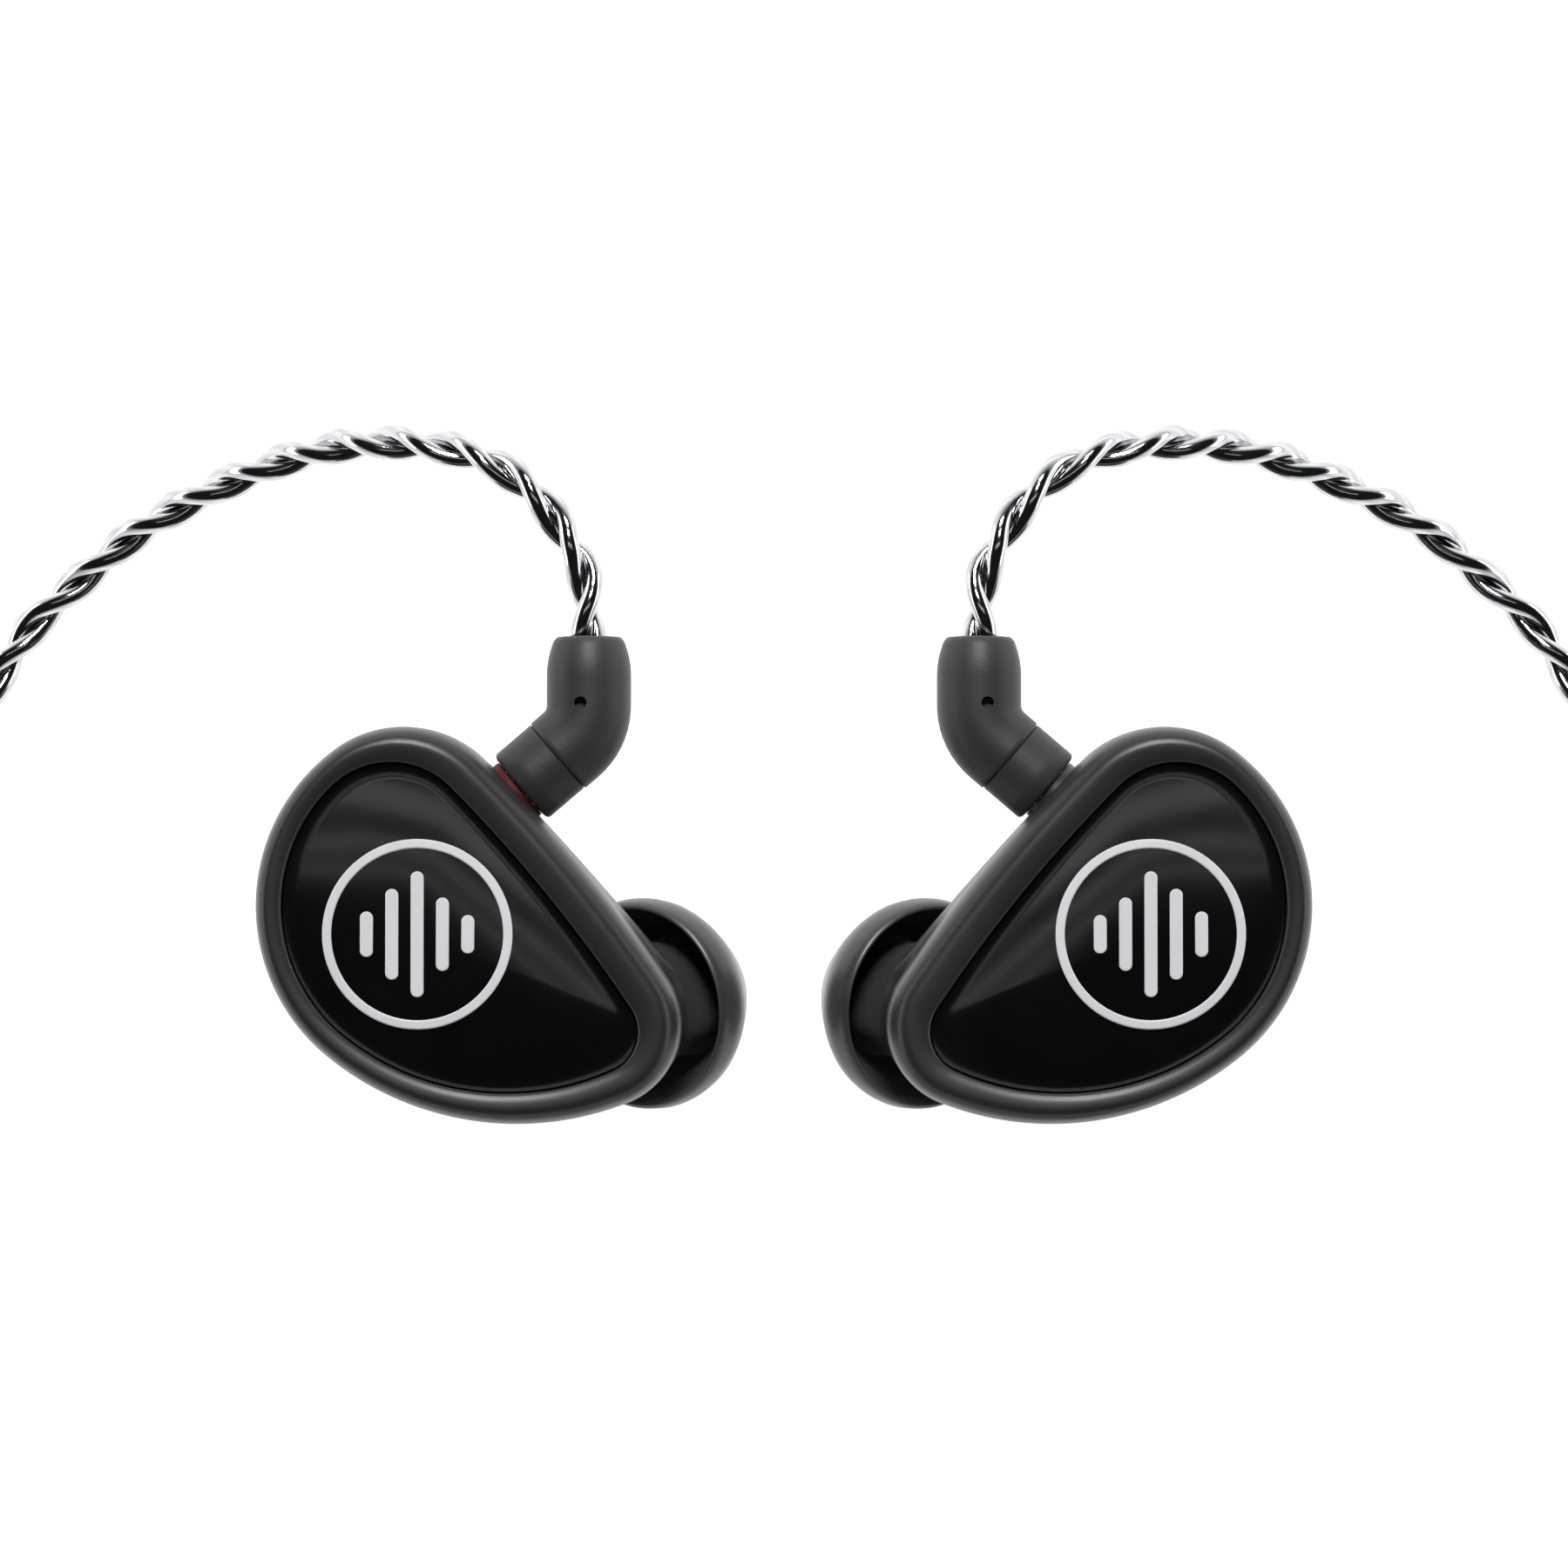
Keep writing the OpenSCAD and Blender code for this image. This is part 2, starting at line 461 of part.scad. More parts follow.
right_unit() elbow_collar();  // right_elbow_collar
right_unit() plug_pins();  // right_plug_pins
left_side() right_unit() front_shell();  // left_front_shell
left_side() right_unit() rear_shell();  // left_rear_shell
left_side() right_unit() faceplate();  // left_faceplate
left_side() right_unit() emblem();  // left_emblem
left_side() right_unit() nozzle();  // left_nozzle
left_side() right_unit() nozzle_screen();  // left_nozzle_screen
left_side() right_unit() ear_tip();  // left_ear_tip
left_side() right_unit() socket_block();  // left_socket_block
left_side() right_unit() socket_ring(dark);  // left_socket_ring
left_side() right_unit() socket_contacts();  // left_socket_contacts
left_side() right_unit() driver_frame();  // left_driver_frame
left_side() right_unit() diaphragm();  // left_diaphragm
left_side() right_unit() voice_coil();  // left_voice_coil
left_side() right_unit() driver_magnet();  // left_driver_magnet
left_side() right_unit() driver_yoke();  // left_driver_yoke
left_side() right_unit() armature_driver();  // left_armature_driver
left_side() right_unit() sound_tube();  // left_sound_tube
left_side() right_unit() damper();  // left_damper
left_side() right_unit() crossover_board();  // left_crossover_board
left_side() right_unit() hookup_wires();  // left_hookup_wires
left_side() right_unit() elbow();  // left_elbow
left_side() right_unit() elbow_collar();  // left_elbow_collar
left_side() right_unit() plug_pins();  // left_plug_pins
right_lead();
left_lead();
leads_hank();
hank_strap();
chin_slider();
splitter();
main_lead();
main_hank();
plug_boot();
plug_barrel();
jack_contacts();
jack_insulators();
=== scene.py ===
"""A pair of in-ear monitors, laid faceplates up, dressed on the CAD frame."""

from __future__ import annotations

import json
import logging
import math
from dataclasses import dataclass, field
from enum import Enum

import bmesh
import bpy
from mathutils import Matrix, Vector

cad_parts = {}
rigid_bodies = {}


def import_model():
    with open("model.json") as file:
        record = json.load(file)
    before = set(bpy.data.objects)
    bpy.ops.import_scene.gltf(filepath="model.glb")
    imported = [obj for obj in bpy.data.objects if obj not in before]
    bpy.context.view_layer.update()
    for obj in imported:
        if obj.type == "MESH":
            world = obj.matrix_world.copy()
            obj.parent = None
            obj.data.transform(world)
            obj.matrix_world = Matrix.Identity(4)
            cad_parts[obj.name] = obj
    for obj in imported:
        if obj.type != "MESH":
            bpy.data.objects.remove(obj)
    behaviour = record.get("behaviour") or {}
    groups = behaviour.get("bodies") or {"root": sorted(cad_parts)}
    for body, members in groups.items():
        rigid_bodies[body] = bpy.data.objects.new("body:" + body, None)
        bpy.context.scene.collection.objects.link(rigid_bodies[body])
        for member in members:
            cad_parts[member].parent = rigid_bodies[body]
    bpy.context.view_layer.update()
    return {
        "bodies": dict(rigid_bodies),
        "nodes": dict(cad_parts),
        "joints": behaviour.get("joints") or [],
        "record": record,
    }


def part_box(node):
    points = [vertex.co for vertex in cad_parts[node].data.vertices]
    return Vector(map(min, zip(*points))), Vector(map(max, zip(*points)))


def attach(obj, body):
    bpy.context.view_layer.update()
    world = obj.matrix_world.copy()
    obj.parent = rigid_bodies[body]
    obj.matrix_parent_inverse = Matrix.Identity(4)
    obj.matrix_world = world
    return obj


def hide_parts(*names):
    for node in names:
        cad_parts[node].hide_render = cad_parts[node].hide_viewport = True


MM = 0.001
UP = Vector((0, 0, 1))
log = logging.getLogger("monitors")


class Side(Enum):
    """The two earpieces; the value is the sign of X."""

    RIGHT = -1
    LEFT = 1

    @property
    def word(self) -> str:
        """Name used at the front of this side's pieces."""
        return self.name.lower()


# ---------------------------------------------------------------- shaders


class Wire:
    """A shader socket that does arithmetic by adding Math nodes."""

    def __init__(self, graph: "Graph", socket: bpy.types.NodeSocket) -> None:
        """Keep the socket and the graph that it belongs to."""
        self.graph = graph
        self.socket = socket

    def _do(self, operation: str, a: object, b: object) -> "Wire":
        """Add one Math node.

        Args:
            operation: Math operation name.
            a: First value or wire.
            b: Second value or wire.

        Returns:
            The node's result.
        """
        return self.graph.node("ShaderNodeMath", {"operation": operation}, {0: a, 1: b})

    def __add__(self, other: object) -> "Wire":
        """Sum."""
        return self._do("ADD", self, other)

    def __radd__(self, other: object) -> "Wire":
        """Sum with a number on the left."""
        return self._do("ADD", other, self)

    def __mul__(self, other: object) -> "Wire":
        """Product."""
        return self._do("MULTIPLY", self, other)

    def __rmul__(self, other: object) -> "Wire":
        """Product with a number on the left."""
        return self._do("MULTIPLY", other, self)

    def sine(self) -> "Wire":
        """Sine of the value."""
        return self.graph.node("ShaderNodeMath", {"operation": "SINE"}, {0: self})

    def above(self, limit: float) -> "Wire":
        """One where the value is above the limit, else zero."""
        return self._do("GREATER_THAN", self, limit)


class Graph:
    """The node tree of one material or of the world."""

    def __init__(self, name: str, is_world: bool = False) -> None:
        """Start an empty tree.

        Args:
            name: Name of the material or world.
            is_world: Whether the tree is a world's.
        """
        self.owner = (bpy.data.worlds if is_world else bpy.data.materials).new(name)
        self.output_kind = "ShaderNodeOutputWorld" if is_world else "ShaderNodeOutputMaterial"
        self.owner.use_nodes = True
        self.tree = self.owner.node_tree
        self.tree.nodes.clear()

    def node(self, kind: str, settings: dict | None = None, inputs: dict | None = None,
             out: int | str = 0) -> Wire:
        """Add a node.

        Args:
            kind: Node type.
            settings: Attributes set first; "stops" fills a ramp.
            inputs: Socket values or wires, by name or number.
            out: Output socket to return.

        Returns:
            The chosen output.
        """
        made = self.tree.nodes.new(kind)
        for key, value in (settings or {}).items():
            if key == "stops":
                ramp = made.color_ramp.elements
                while len(ramp) < len(value):
                    ramp.new(0.5)
                for stop, (place, colour) in zip(ramp, value):
                    stop.position = place
                    stop.color = (*colour, 1.0)
            else:
                setattr(made, key, value)
        for key, value in (inputs or {}).items():
            if isinstance(value, Wire):
                self.tree.links.new(value.socket, made.inputs[key])
            else:
                made.inputs[key].default_value = value
        return Wire(self, made.outputs[out])

    def object_space(self) -> Wire:
        """Object coordinates."""
        return self.node("ShaderNodeTexCoord", out="Object")

    def noise(self, where: Wire, scale: float, detail: float = 3.0) -> Wire:
        """Noise value.

        Args:
            where: Coordinates.
            scale: Cells per metre.
            detail: Octaves.

        Returns:
            The noise factor.
        """
        return self.node("ShaderNodeTexNoise", {}, {"Vector": where, "Scale": scale, "Detail": detail})

    def bump(self, height: Wire, distance: float, strength: float = 1.0) -> Wire:
        """Bump normal from a height.

        Args:
            height: Height between 0 and 1.
            distance: Depth in metres.
            strength: Share of the depth that is used.

        Returns:
            The normal.
        """
        return self.node("ShaderNodeBump", {}, {"Height": height, "Distance": distance, "Strength": strength})

    def ramp(self, value: Wire, low: tuple, high: tuple) -> Wire:
        """Colour between two tones.

        Args:
            value: Factor.
            low: Colour at 0.
            high: Colour at 1.

        Returns:
            The colour.
        """
        return self.node("ShaderNodeValToRGB", {"stops": [(0.0, low), (1.0, high)]}, {0: value})

    def surface(self, inputs: dict) -> bpy.types.Material:
        """Finish with a Principled shader.

        Args:
            inputs: Its socket values or wires.

        Returns:
            The material.
        """
        self.finish(self.node("ShaderNodeBsdfPrincipled", {}, inputs))
        return self.owner

    def finish(self, shader: Wire) -> None:
        """Link a shader to the tree's output."""
        made = self.tree.nodes.new(self.output_kind)
        self.tree.links.new(shader.socket, made.inputs["Surface"])


@dataclass(frozen=True)
class MouldedFinish:
    """Moulded plastic or rubber with a fine grain and slight wear in its gloss."""

    name: str
    dark: tuple
    light: tuple
    roughness: float
    wear: float = 0.1
    cloud_scale: float = 220.0
    grain: float = 9000.0
    grain_depth: float = 4e-6
    coat: float = 0.0
    coat_roughness: float = 0.08
    transmission: float = 0.0
    sheen: float = 0.0
    specular: float = 0.5

    def material(self) -> bpy.types.Material:
        """Build the material."""
        g = Graph(self.name)
        where = g.object_space()
        cloud = g.noise(where, self.cloud_scale, 4.0)
        fine = g.noise(where, self.grain, 2.0)
        return g.surface({
            "Base Color": g.ramp(cloud, self.dark, self.light),
            "Roughness": self.roughness - self.wear / 2 + cloud * self.wear,
            "Normal": g.bump(fine, self.grain_depth),
            "Coat Weight": self.coat,
            "Coat Roughness": self.coat_roughness,
            "Transmission Weight": self.transmission,
            "Sheen Weight": self.sheen,
            "Specular IOR Level": self.specular,
        })


@dataclass(frozen=True)
class MetalFinish:
    """Machined or plated metal with fine turning marks."""

    name: str
    colour: tuple
    roughness: float
    wear: float = 0.12
    dulled: float = 0.85
    cloud_scale: float = 400.0
    marks: float = 5000.0
    marks_depth: float = 2e-6

    def material(self) -> bpy.types.Material:
        """Build the material."""
        g = Graph(self.name)
        where = g.object_space()
        cloud = g.noise(where, self.cloud_scale, 4.0)
        fine = g.noise(where, self.marks)
        return g.surface({
            "Base Color": g.ramp(cloud, tuple(c * self.dulled for c in self.colour), self.colour),
            "Metallic": 1.0,
            "Roughness": self.roughness - self.wear / 2 + fine * self.wear,
            "Normal": g.bump(fine, self.marks_depth),
        })


@dataclass(frozen=True)
class StrandFinish:
    """Silver wire bundle seen through a clear jacket; its fine wires wind round the strand, and its colour
    carries painted shade in the grooves between them.
    """

    name: str
    dark: tuple
    light: tuple
    wires: float = 5.0
    wind: float = 4.2
    wire_depth: float = 3e-6
    roughness: float = 0.06
    wear: float = 0.06
    cloud_scale: float = 500.0

    def material(self) -> bpy.types.Material:
        """Build the material; U runs round the strand and V along it in millimetres."""
        g = Graph(self.name)
        uv = g.node("ShaderNodeUVMap", {"uv_map": "strand"})
        around = g.node("ShaderNodeSeparateXYZ", {}, {0: uv})
        along = g.node("ShaderNodeSeparateXYZ", {}, {0: uv}, out=1)
        ridge_and_groove_shade = (around * (math.tau * self.wires) + along * self.wind).sine() * 0.5 + 0.5
        cloud = g.noise(g.object_space(), self.cloud_scale)
        return g.surface({
            # Base colour: painted shade, darker in the grooves between the wires, mixed with a random cloud
            # tone.
            "Base Color": g.ramp(ridge_and_groove_shade * 0.6 + cloud * 0.4, self.dark, self.light),
            "Metallic": 1.0,
            "Roughness": self.roughness + cloud * self.wear,
            "Normal": g.bump(ridge_and_groove_shade, self.wire_depth, 0.6),
        })


@dataclass(frozen=True)
class MeshFinish:
    """Fine perforated screen: round holes in rows on bright metal, the holes filled with near-black painted
    shade.
    """

    name: str
    colour: tuple
    pitch: float
    hole: float = 0.33
    # Near-black painted shade that stands for the dark inside seen through each hole.
    hole_colour: tuple = (0.01, 0.01, 0.01)
    hole_depth: float = 6e-5
    roughness: float = 0.35

    def material(self) -> bpy.types.Material:
        """Build the material."""
        g = Graph(self.name)
        rows = {"Vector": g.object_space(), "Scale": 1.0 / self.pitch, "Randomness": 0.0}
        solid = g.node("ShaderNodeTexVoronoi", {}, rows).above(self.hole)
        return g.surface({
            # Base colour: bright metal, with painted shade in the holes.
            "Base Color": g.ramp(solid, self.hole_colour, self.colour),
            "Metallic": solid * 0.9,
            "Roughness": self.roughness,
            "Normal": g.bump(solid, self.hole_depth),
        })


def mixed(finish: MouldedFinish | MetalFinish | StrandFinish | MeshFinish) -> bpy.types.Material:
    """Field whose material is made from this finish with the rest of the paints."""
    return field(default_factory=finish.material)


@dataclass
class Paints:
    """Every finish of the object, made once."""

    shell: bpy.types.Material = mixed(MouldedFinish(
        "shell_satin_black", (0.0125, 0.0125, 0.013), (0.017, 0.017, 0.0175), 0.36, specular=0.36))
    plate: bpy.types.Material = mixed(MouldedFinish(
        "faceplate_gloss_black", (0.0015, 0.0015, 0.0016), (0.0025, 0.0025, 0.0026), 0.12,
        grain=6000.0, grain_depth=4e-7, coat=0.6))
    emblem: bpy.types.Material = mixed(MouldedFinish(
        "emblem_light_grey", (0.49, 0.49, 0.5), (0.55, 0.55, 0.56), 0.34))
    silicone: bpy.types.Material = mixed(MouldedFinish(
        "tip_smoky_silicone", (0.024, 0.024, 0.025), (0.033, 0.033, 0.034), 0.36,
        grain=5000.0, grain_depth=3e-6, transmission=0.1, sheen=0.12))
    connector: bpy.types.Material = mixed(MouldedFinish(
        "connector_soft_touch", (0.014, 0.014, 0.0145), (0.022, 0.022, 0.0225), 0.5,
        grain=8000.0, grain_depth=9e-6, sheen=0.05, specular=0.4))
    red: bpy.types.Material = mixed(MouldedFinish(
        "marker_red", (0.055, 0.0008, 0.0012), (0.075, 0.0012, 0.0018), 0.6, specular=0.3))
    dark: bpy.types.Material = mixed(MouldedFinish(
        "marker_dark", (0.02, 0.02, 0.022), (0.03, 0.03, 0.032), 0.35))
    socket: bpy.types.Material = mixed(MouldedFinish(
        "socket_black", (0.02, 0.02, 0.02), (0.03, 0.03, 0.03), 0.55))
    board: bpy.types.Material = mixed(MouldedFinish(
        "board_green", (0.01, 0.09, 0.05), (0.02, 0.13, 0.07), 0.4))
    film: bpy.types.Material = mixed(MouldedFinish(
        "diaphragm_film", (0.55, 0.54, 0.5), (0.65, 0.64, 0.6), 0.3))
    tube: bpy.types.Material = mixed(MouldedFinish(
        "clear_sound_tube", (0.6, 0.66, 0.7), (0.7, 0.76, 0.8), 0.2, transmission=0.6))
    felt: bpy.types.Material = mixed(MouldedFinish(
        "damper_mesh_green", (0.05, 0.25, 0.1), (0.08, 0.35, 0.15), 0.8, grain=12000.0, grain_depth=3e-5))
    enamel: bpy.types.Material = mixed(MouldedFinish(
        "wire_enamel_red", (0.35, 0.03, 0.03), (0.5, 0.05, 0.05), 0.3))
    steel: bpy.types.Material = mixed(MetalFinish("driver_steel", (0.6, 0.6, 0.62), 0.3))
    nozzle: bpy.types.Material = mixed(MetalFinish("nozzle_aluminium", (0.66, 0.66, 0.68), 0.28))
    brass: bpy.types.Material = mixed(MetalFinish("driver_brass", (0.7, 0.52, 0.26), 0.3))
    copper: bpy.types.Material = mixed(MetalFinish("coil_copper", (0.75, 0.36, 0.2), 0.35, marks=20000.0))
    gold: bpy.types.Material = mixed(MetalFinish("gold_plate", (0.9, 0.68, 0.3), 0.2))
    screen: bpy.types.Material = mixed(MeshFinish("screen_mesh", (0.55, 0.55, 0.57), 0.00022))
    silver: bpy.types.Material = mixed(StrandFinish(
        "cable_silver_strand", (0.46, 0.46, 0.47), (0.64, 0.64, 0.65)))


# ---------------------------------------------------------------- modelling


def deselect() -> None:
    """Leave edit mode and select nothing."""
    if bpy.context.object and bpy.context.object.mode != "OBJECT":
        bpy.ops.object.mode_set(mode="OBJECT")
    bpy.ops.object.select_all(action="DESELECT")


def only(obj: bpy.types.Object) -> None:
    """Select one object and make it active.

    Args:
        obj: The object.
    """
    deselect()
    bpy.context.view_layer.objects.active = obj
    obj.select_set(True)


def close_up(threshold: float = 1e-7) -> None:
    """Merge doubles, turn the faces outwards and leave edit mode.

    Args:
        threshold: Vertices closer than this are one, in metres.
    """
    bpy.ops.mesh.select_all(action="SELECT")
    bpy.ops.mesh.remove_doubles(threshold=threshold)
    bpy.ops.mesh.normals_make_consistent(inside=False)
    bpy.ops.object.mode_set(mode="OBJECT")


def place_last(obj: bpy.types.Object, points: list[Vector]) -> None:
    """Move the newest vertices of the mesh in edit mode.

    Args:
        obj: Object in edit mode.
        points: New places of its last vertices, in order.
    """
    bm = bmesh.from_edit_mesh(obj.data)
    bm.verts.ensure_lookup_table()
    start = len(bm.verts) - len(points)
    for i, p in enumerate(points):
        bm.verts[start + i].co = p
    bmesh.update_edit_mesh(obj.data)


def lofted(name: str, rings: list[list[Vector]], start_cap: bool = False, end_cap: bool = False,
           loop: bool = False) -> bpy.types.Object:
    """Grow a skin from a circle by extruding it ring by ring.

    Args:
        name: Object name.
        rings: Rings of equal length, in order.
        start_cap: Close the first ring with a face.
        end_cap: Close the last ring with a face.
        loop: Join the last ring to the first.

    Returns:
        The object, with outward normals.
    """
    deselect()
    count = len(rings[0])
    bpy.ops.mesh.primitive_circle_add(vertices=count, radius=MM)
    obj = bpy.context.object
    obj.name = obj.data.name = name
    bpy.ops.object.mode_set(mode="EDIT")
    place_last(obj, rings[0])
    bpy.ops.mesh.select_all(action="SELECT")
    if start_cap:
        bpy.ops.mesh.edge_face_add()
        bpy.ops.mesh.select_all(action="SELECT")
    for ring in rings[1:] + ([rings[0]] if loop else []):
        bpy.ops.mesh.extrude_edges_move()
        place_last(obj, ring)
    if end_cap:
        bpy.ops.mesh.edge_face_add()
    close_up()
    return obj


def spun(name: str, profile: list[tuple[float, float]], steps: int = 96) -> bpy.types.Object:
    """Spin a closed profile of (radius, height) in millimetres about Z.

    Args:
        name: Object name.
        profile: Corners of the section.
        steps: Divisions round the axis.

    Returns:
        The object, standing at the origin.
    """
    deselect()
    bpy.ops.mesh.primitive_circle_add(vertices=len(profile), radius=MM)
    obj = bpy.context.object
    obj.name = obj.data.name = name
    bpy.ops.object.mode_set(mode="EDIT")
    place_last(obj, [Vector((r * MM, 0, h * MM)) for r, h in profile])
    bpy.ops.mesh.select_all(action="SELECT")
    bpy.ops.mesh.spin(steps=steps, angle=math.tau, center=(0, 0, 0), axis=(0, 0, 1))
    close_up()
    return obj


def smooth(obj: bpy.types.Object, angle: float = 40.0) -> None:
    """Shade smooth up to an angle in degrees."""
    only(obj)
    bpy.ops.object.shade_smooth_by_angle(angle=math.radians(angle))


def put(obj: bpy.types.Object, matrix: Matrix) -> None:
    """Move the mesh itself, leaving the object at the origin.

    Args:
        obj: Mesh object.
        matrix: The move, which may be a mirror.
    """
    obj.data.transform(matrix)
    if matrix.determinant() < 0:
        obj.data.flip_normals()
    obj.data.update()


def mirrored(obj: bpy.types.Object, name: str) -> bpy.types.Object:
    """Copy a piece to the other side of the middle plane, with its own mesh.

    Args:
        obj: The piece.
        name: The copy's name.

    Returns:
        The copy.
    """
    twin = obj.copy()
    twin.data = obj.data.copy()
    twin.name = twin.data.name = name
    bpy.context.collection.objects.link(twin)
    put(twin, Matrix.Scale(-1, 4, (1, 0, 0)))
    return twin


def finish_piece(obj: bpy.types.Object, paint: bpy.types.Material, body: str, slot: str, *nodes: str) -> None:
    """Give a piece its finish and its body, and hide the CAD nodes it stands for.

    Args:
        obj: The piece.
        paint: Its material.
        body: Body that it rides on.
        slot: Material slot of the record; not used.
        nodes: CAD nodes that it replaces.
    """
    obj.data.materials.clear()
    obj.data.materials.append(paint)
    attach(obj, body)
    if nodes:
        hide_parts(*nodes)
    log.info("%s: %d faces", obj.name, len(obj.data.polygons))


def dress_node(node: str, paint: bpy.types.Material) -> None:
    """Give a CAD node a finish.

    Args:
        node: Node name.
        paint: Its material.
    """
    obj = FRAME["nodes"][node]
    obj.data.materials.clear()
    obj.data.materials.append(paint)


def heading(degrees: float) -> Vector:
    """Unit vector in the plan at this angle."""
    return Vector((math.cos(math.radians(degrees)), math.sin(math.radians(degrees))))


def turned(i: int, count: int) -> float:
    """Angle of step i when a full turn has this many steps."""
    return math.tau * i / count


@dataclass(frozen=True)
class Outline:
    """A closed chain of tangent arcs: back, bottom, lobe, long edge and top."""

    arcs: tuple[tuple[float, float], ...]
    edge_radius: float = 85.0
    counts: tuple[int, int, int, int, int] = (44, 34, 36, 26, 26)

    def centres(self) -> list[Vector]:
        """Centres of the back, bottom, lobe and top arcs."""
        (r0, t0), (r1, t1), (r2, _), (r3, t3) = self.arcs
        c0 = Vector((0, 0))
        c1 = c0 + (r0 - r1) * heading(t0)
        c2 = c1 + (r1 - r2) * heading(t1)
        return [c0, c1, c2, c0 + (r0 - r3) * heading(t3)]

    def points(self, inset: float = 0.0) -> list[Vector]:
        """Outline points in millimetres, counter-clockwise.

        Args:
            inset: Distance that the outline is moved inwards.

        Returns:
            The points.
        """
        (r0, t0), (r1, t1), (r2, _), (r3, t3) = self.arcs
        back, bottom, lobe, top = self.centres()
        to_lobe, to_top = self.edge_radius - r2, self.edge_radius - r3
        gap = (top - lobe).length
        along = (top - lobe) / gap
        foot = (to_lobe ** 2 - to_top ** 2 + gap ** 2) / (2 * gap)
        edge = lobe + along * foot - Vector((along.y, -along.x)) * math.sqrt(to_lobe ** 2 - foot ** 2)
        t_lobe = math.degrees(math.atan2(lobe.y - edge.y, lobe.x - edge.x))
        t_top = math.degrees(math.atan2(top.y - edge.y, top.x - edge.x))
        runs = [(back, r0, t3, t0), (bottom, r1, t0, t1), (lobe, r2, t1, t_lobe + 360),
                (edge, self.edge_radius, t_lobe, t_top), (top, r3, t_top, t3)]
        made = []
        for (mid, r, a, b), n in zip(runs, self.counts):
            made += [mid + (r - inset) * heading(a + (b - a) * i / n) for i in range(n)]
        return made

    def reach(self, start: Vector, direction: Vector) -> float:
        """Distance from a point inside to the outline.

        Args:
            start: Point inside, in the plan.
            direction: Unit vector to look along.

        Returns:
            The distance.
        """
        pts = self.points()
        slack = 1e-6
        best = 0.0
        for a, b in zip(pts, pts[1:] + pts[:1]):
            edge, to = b - a, a - start
            cross = direction.x * edge.y - direction.y * edge.x
            if abs(cross) < slack * MM:
                continue
            far = (to.x * edge.y - to.y * edge.x) / cross
            share = (to.x * direction.y - to.y * direction.x) / cross
            if far > 0 and -slack <= share <= 1 + slack:
                best = max(best, far)
        return best


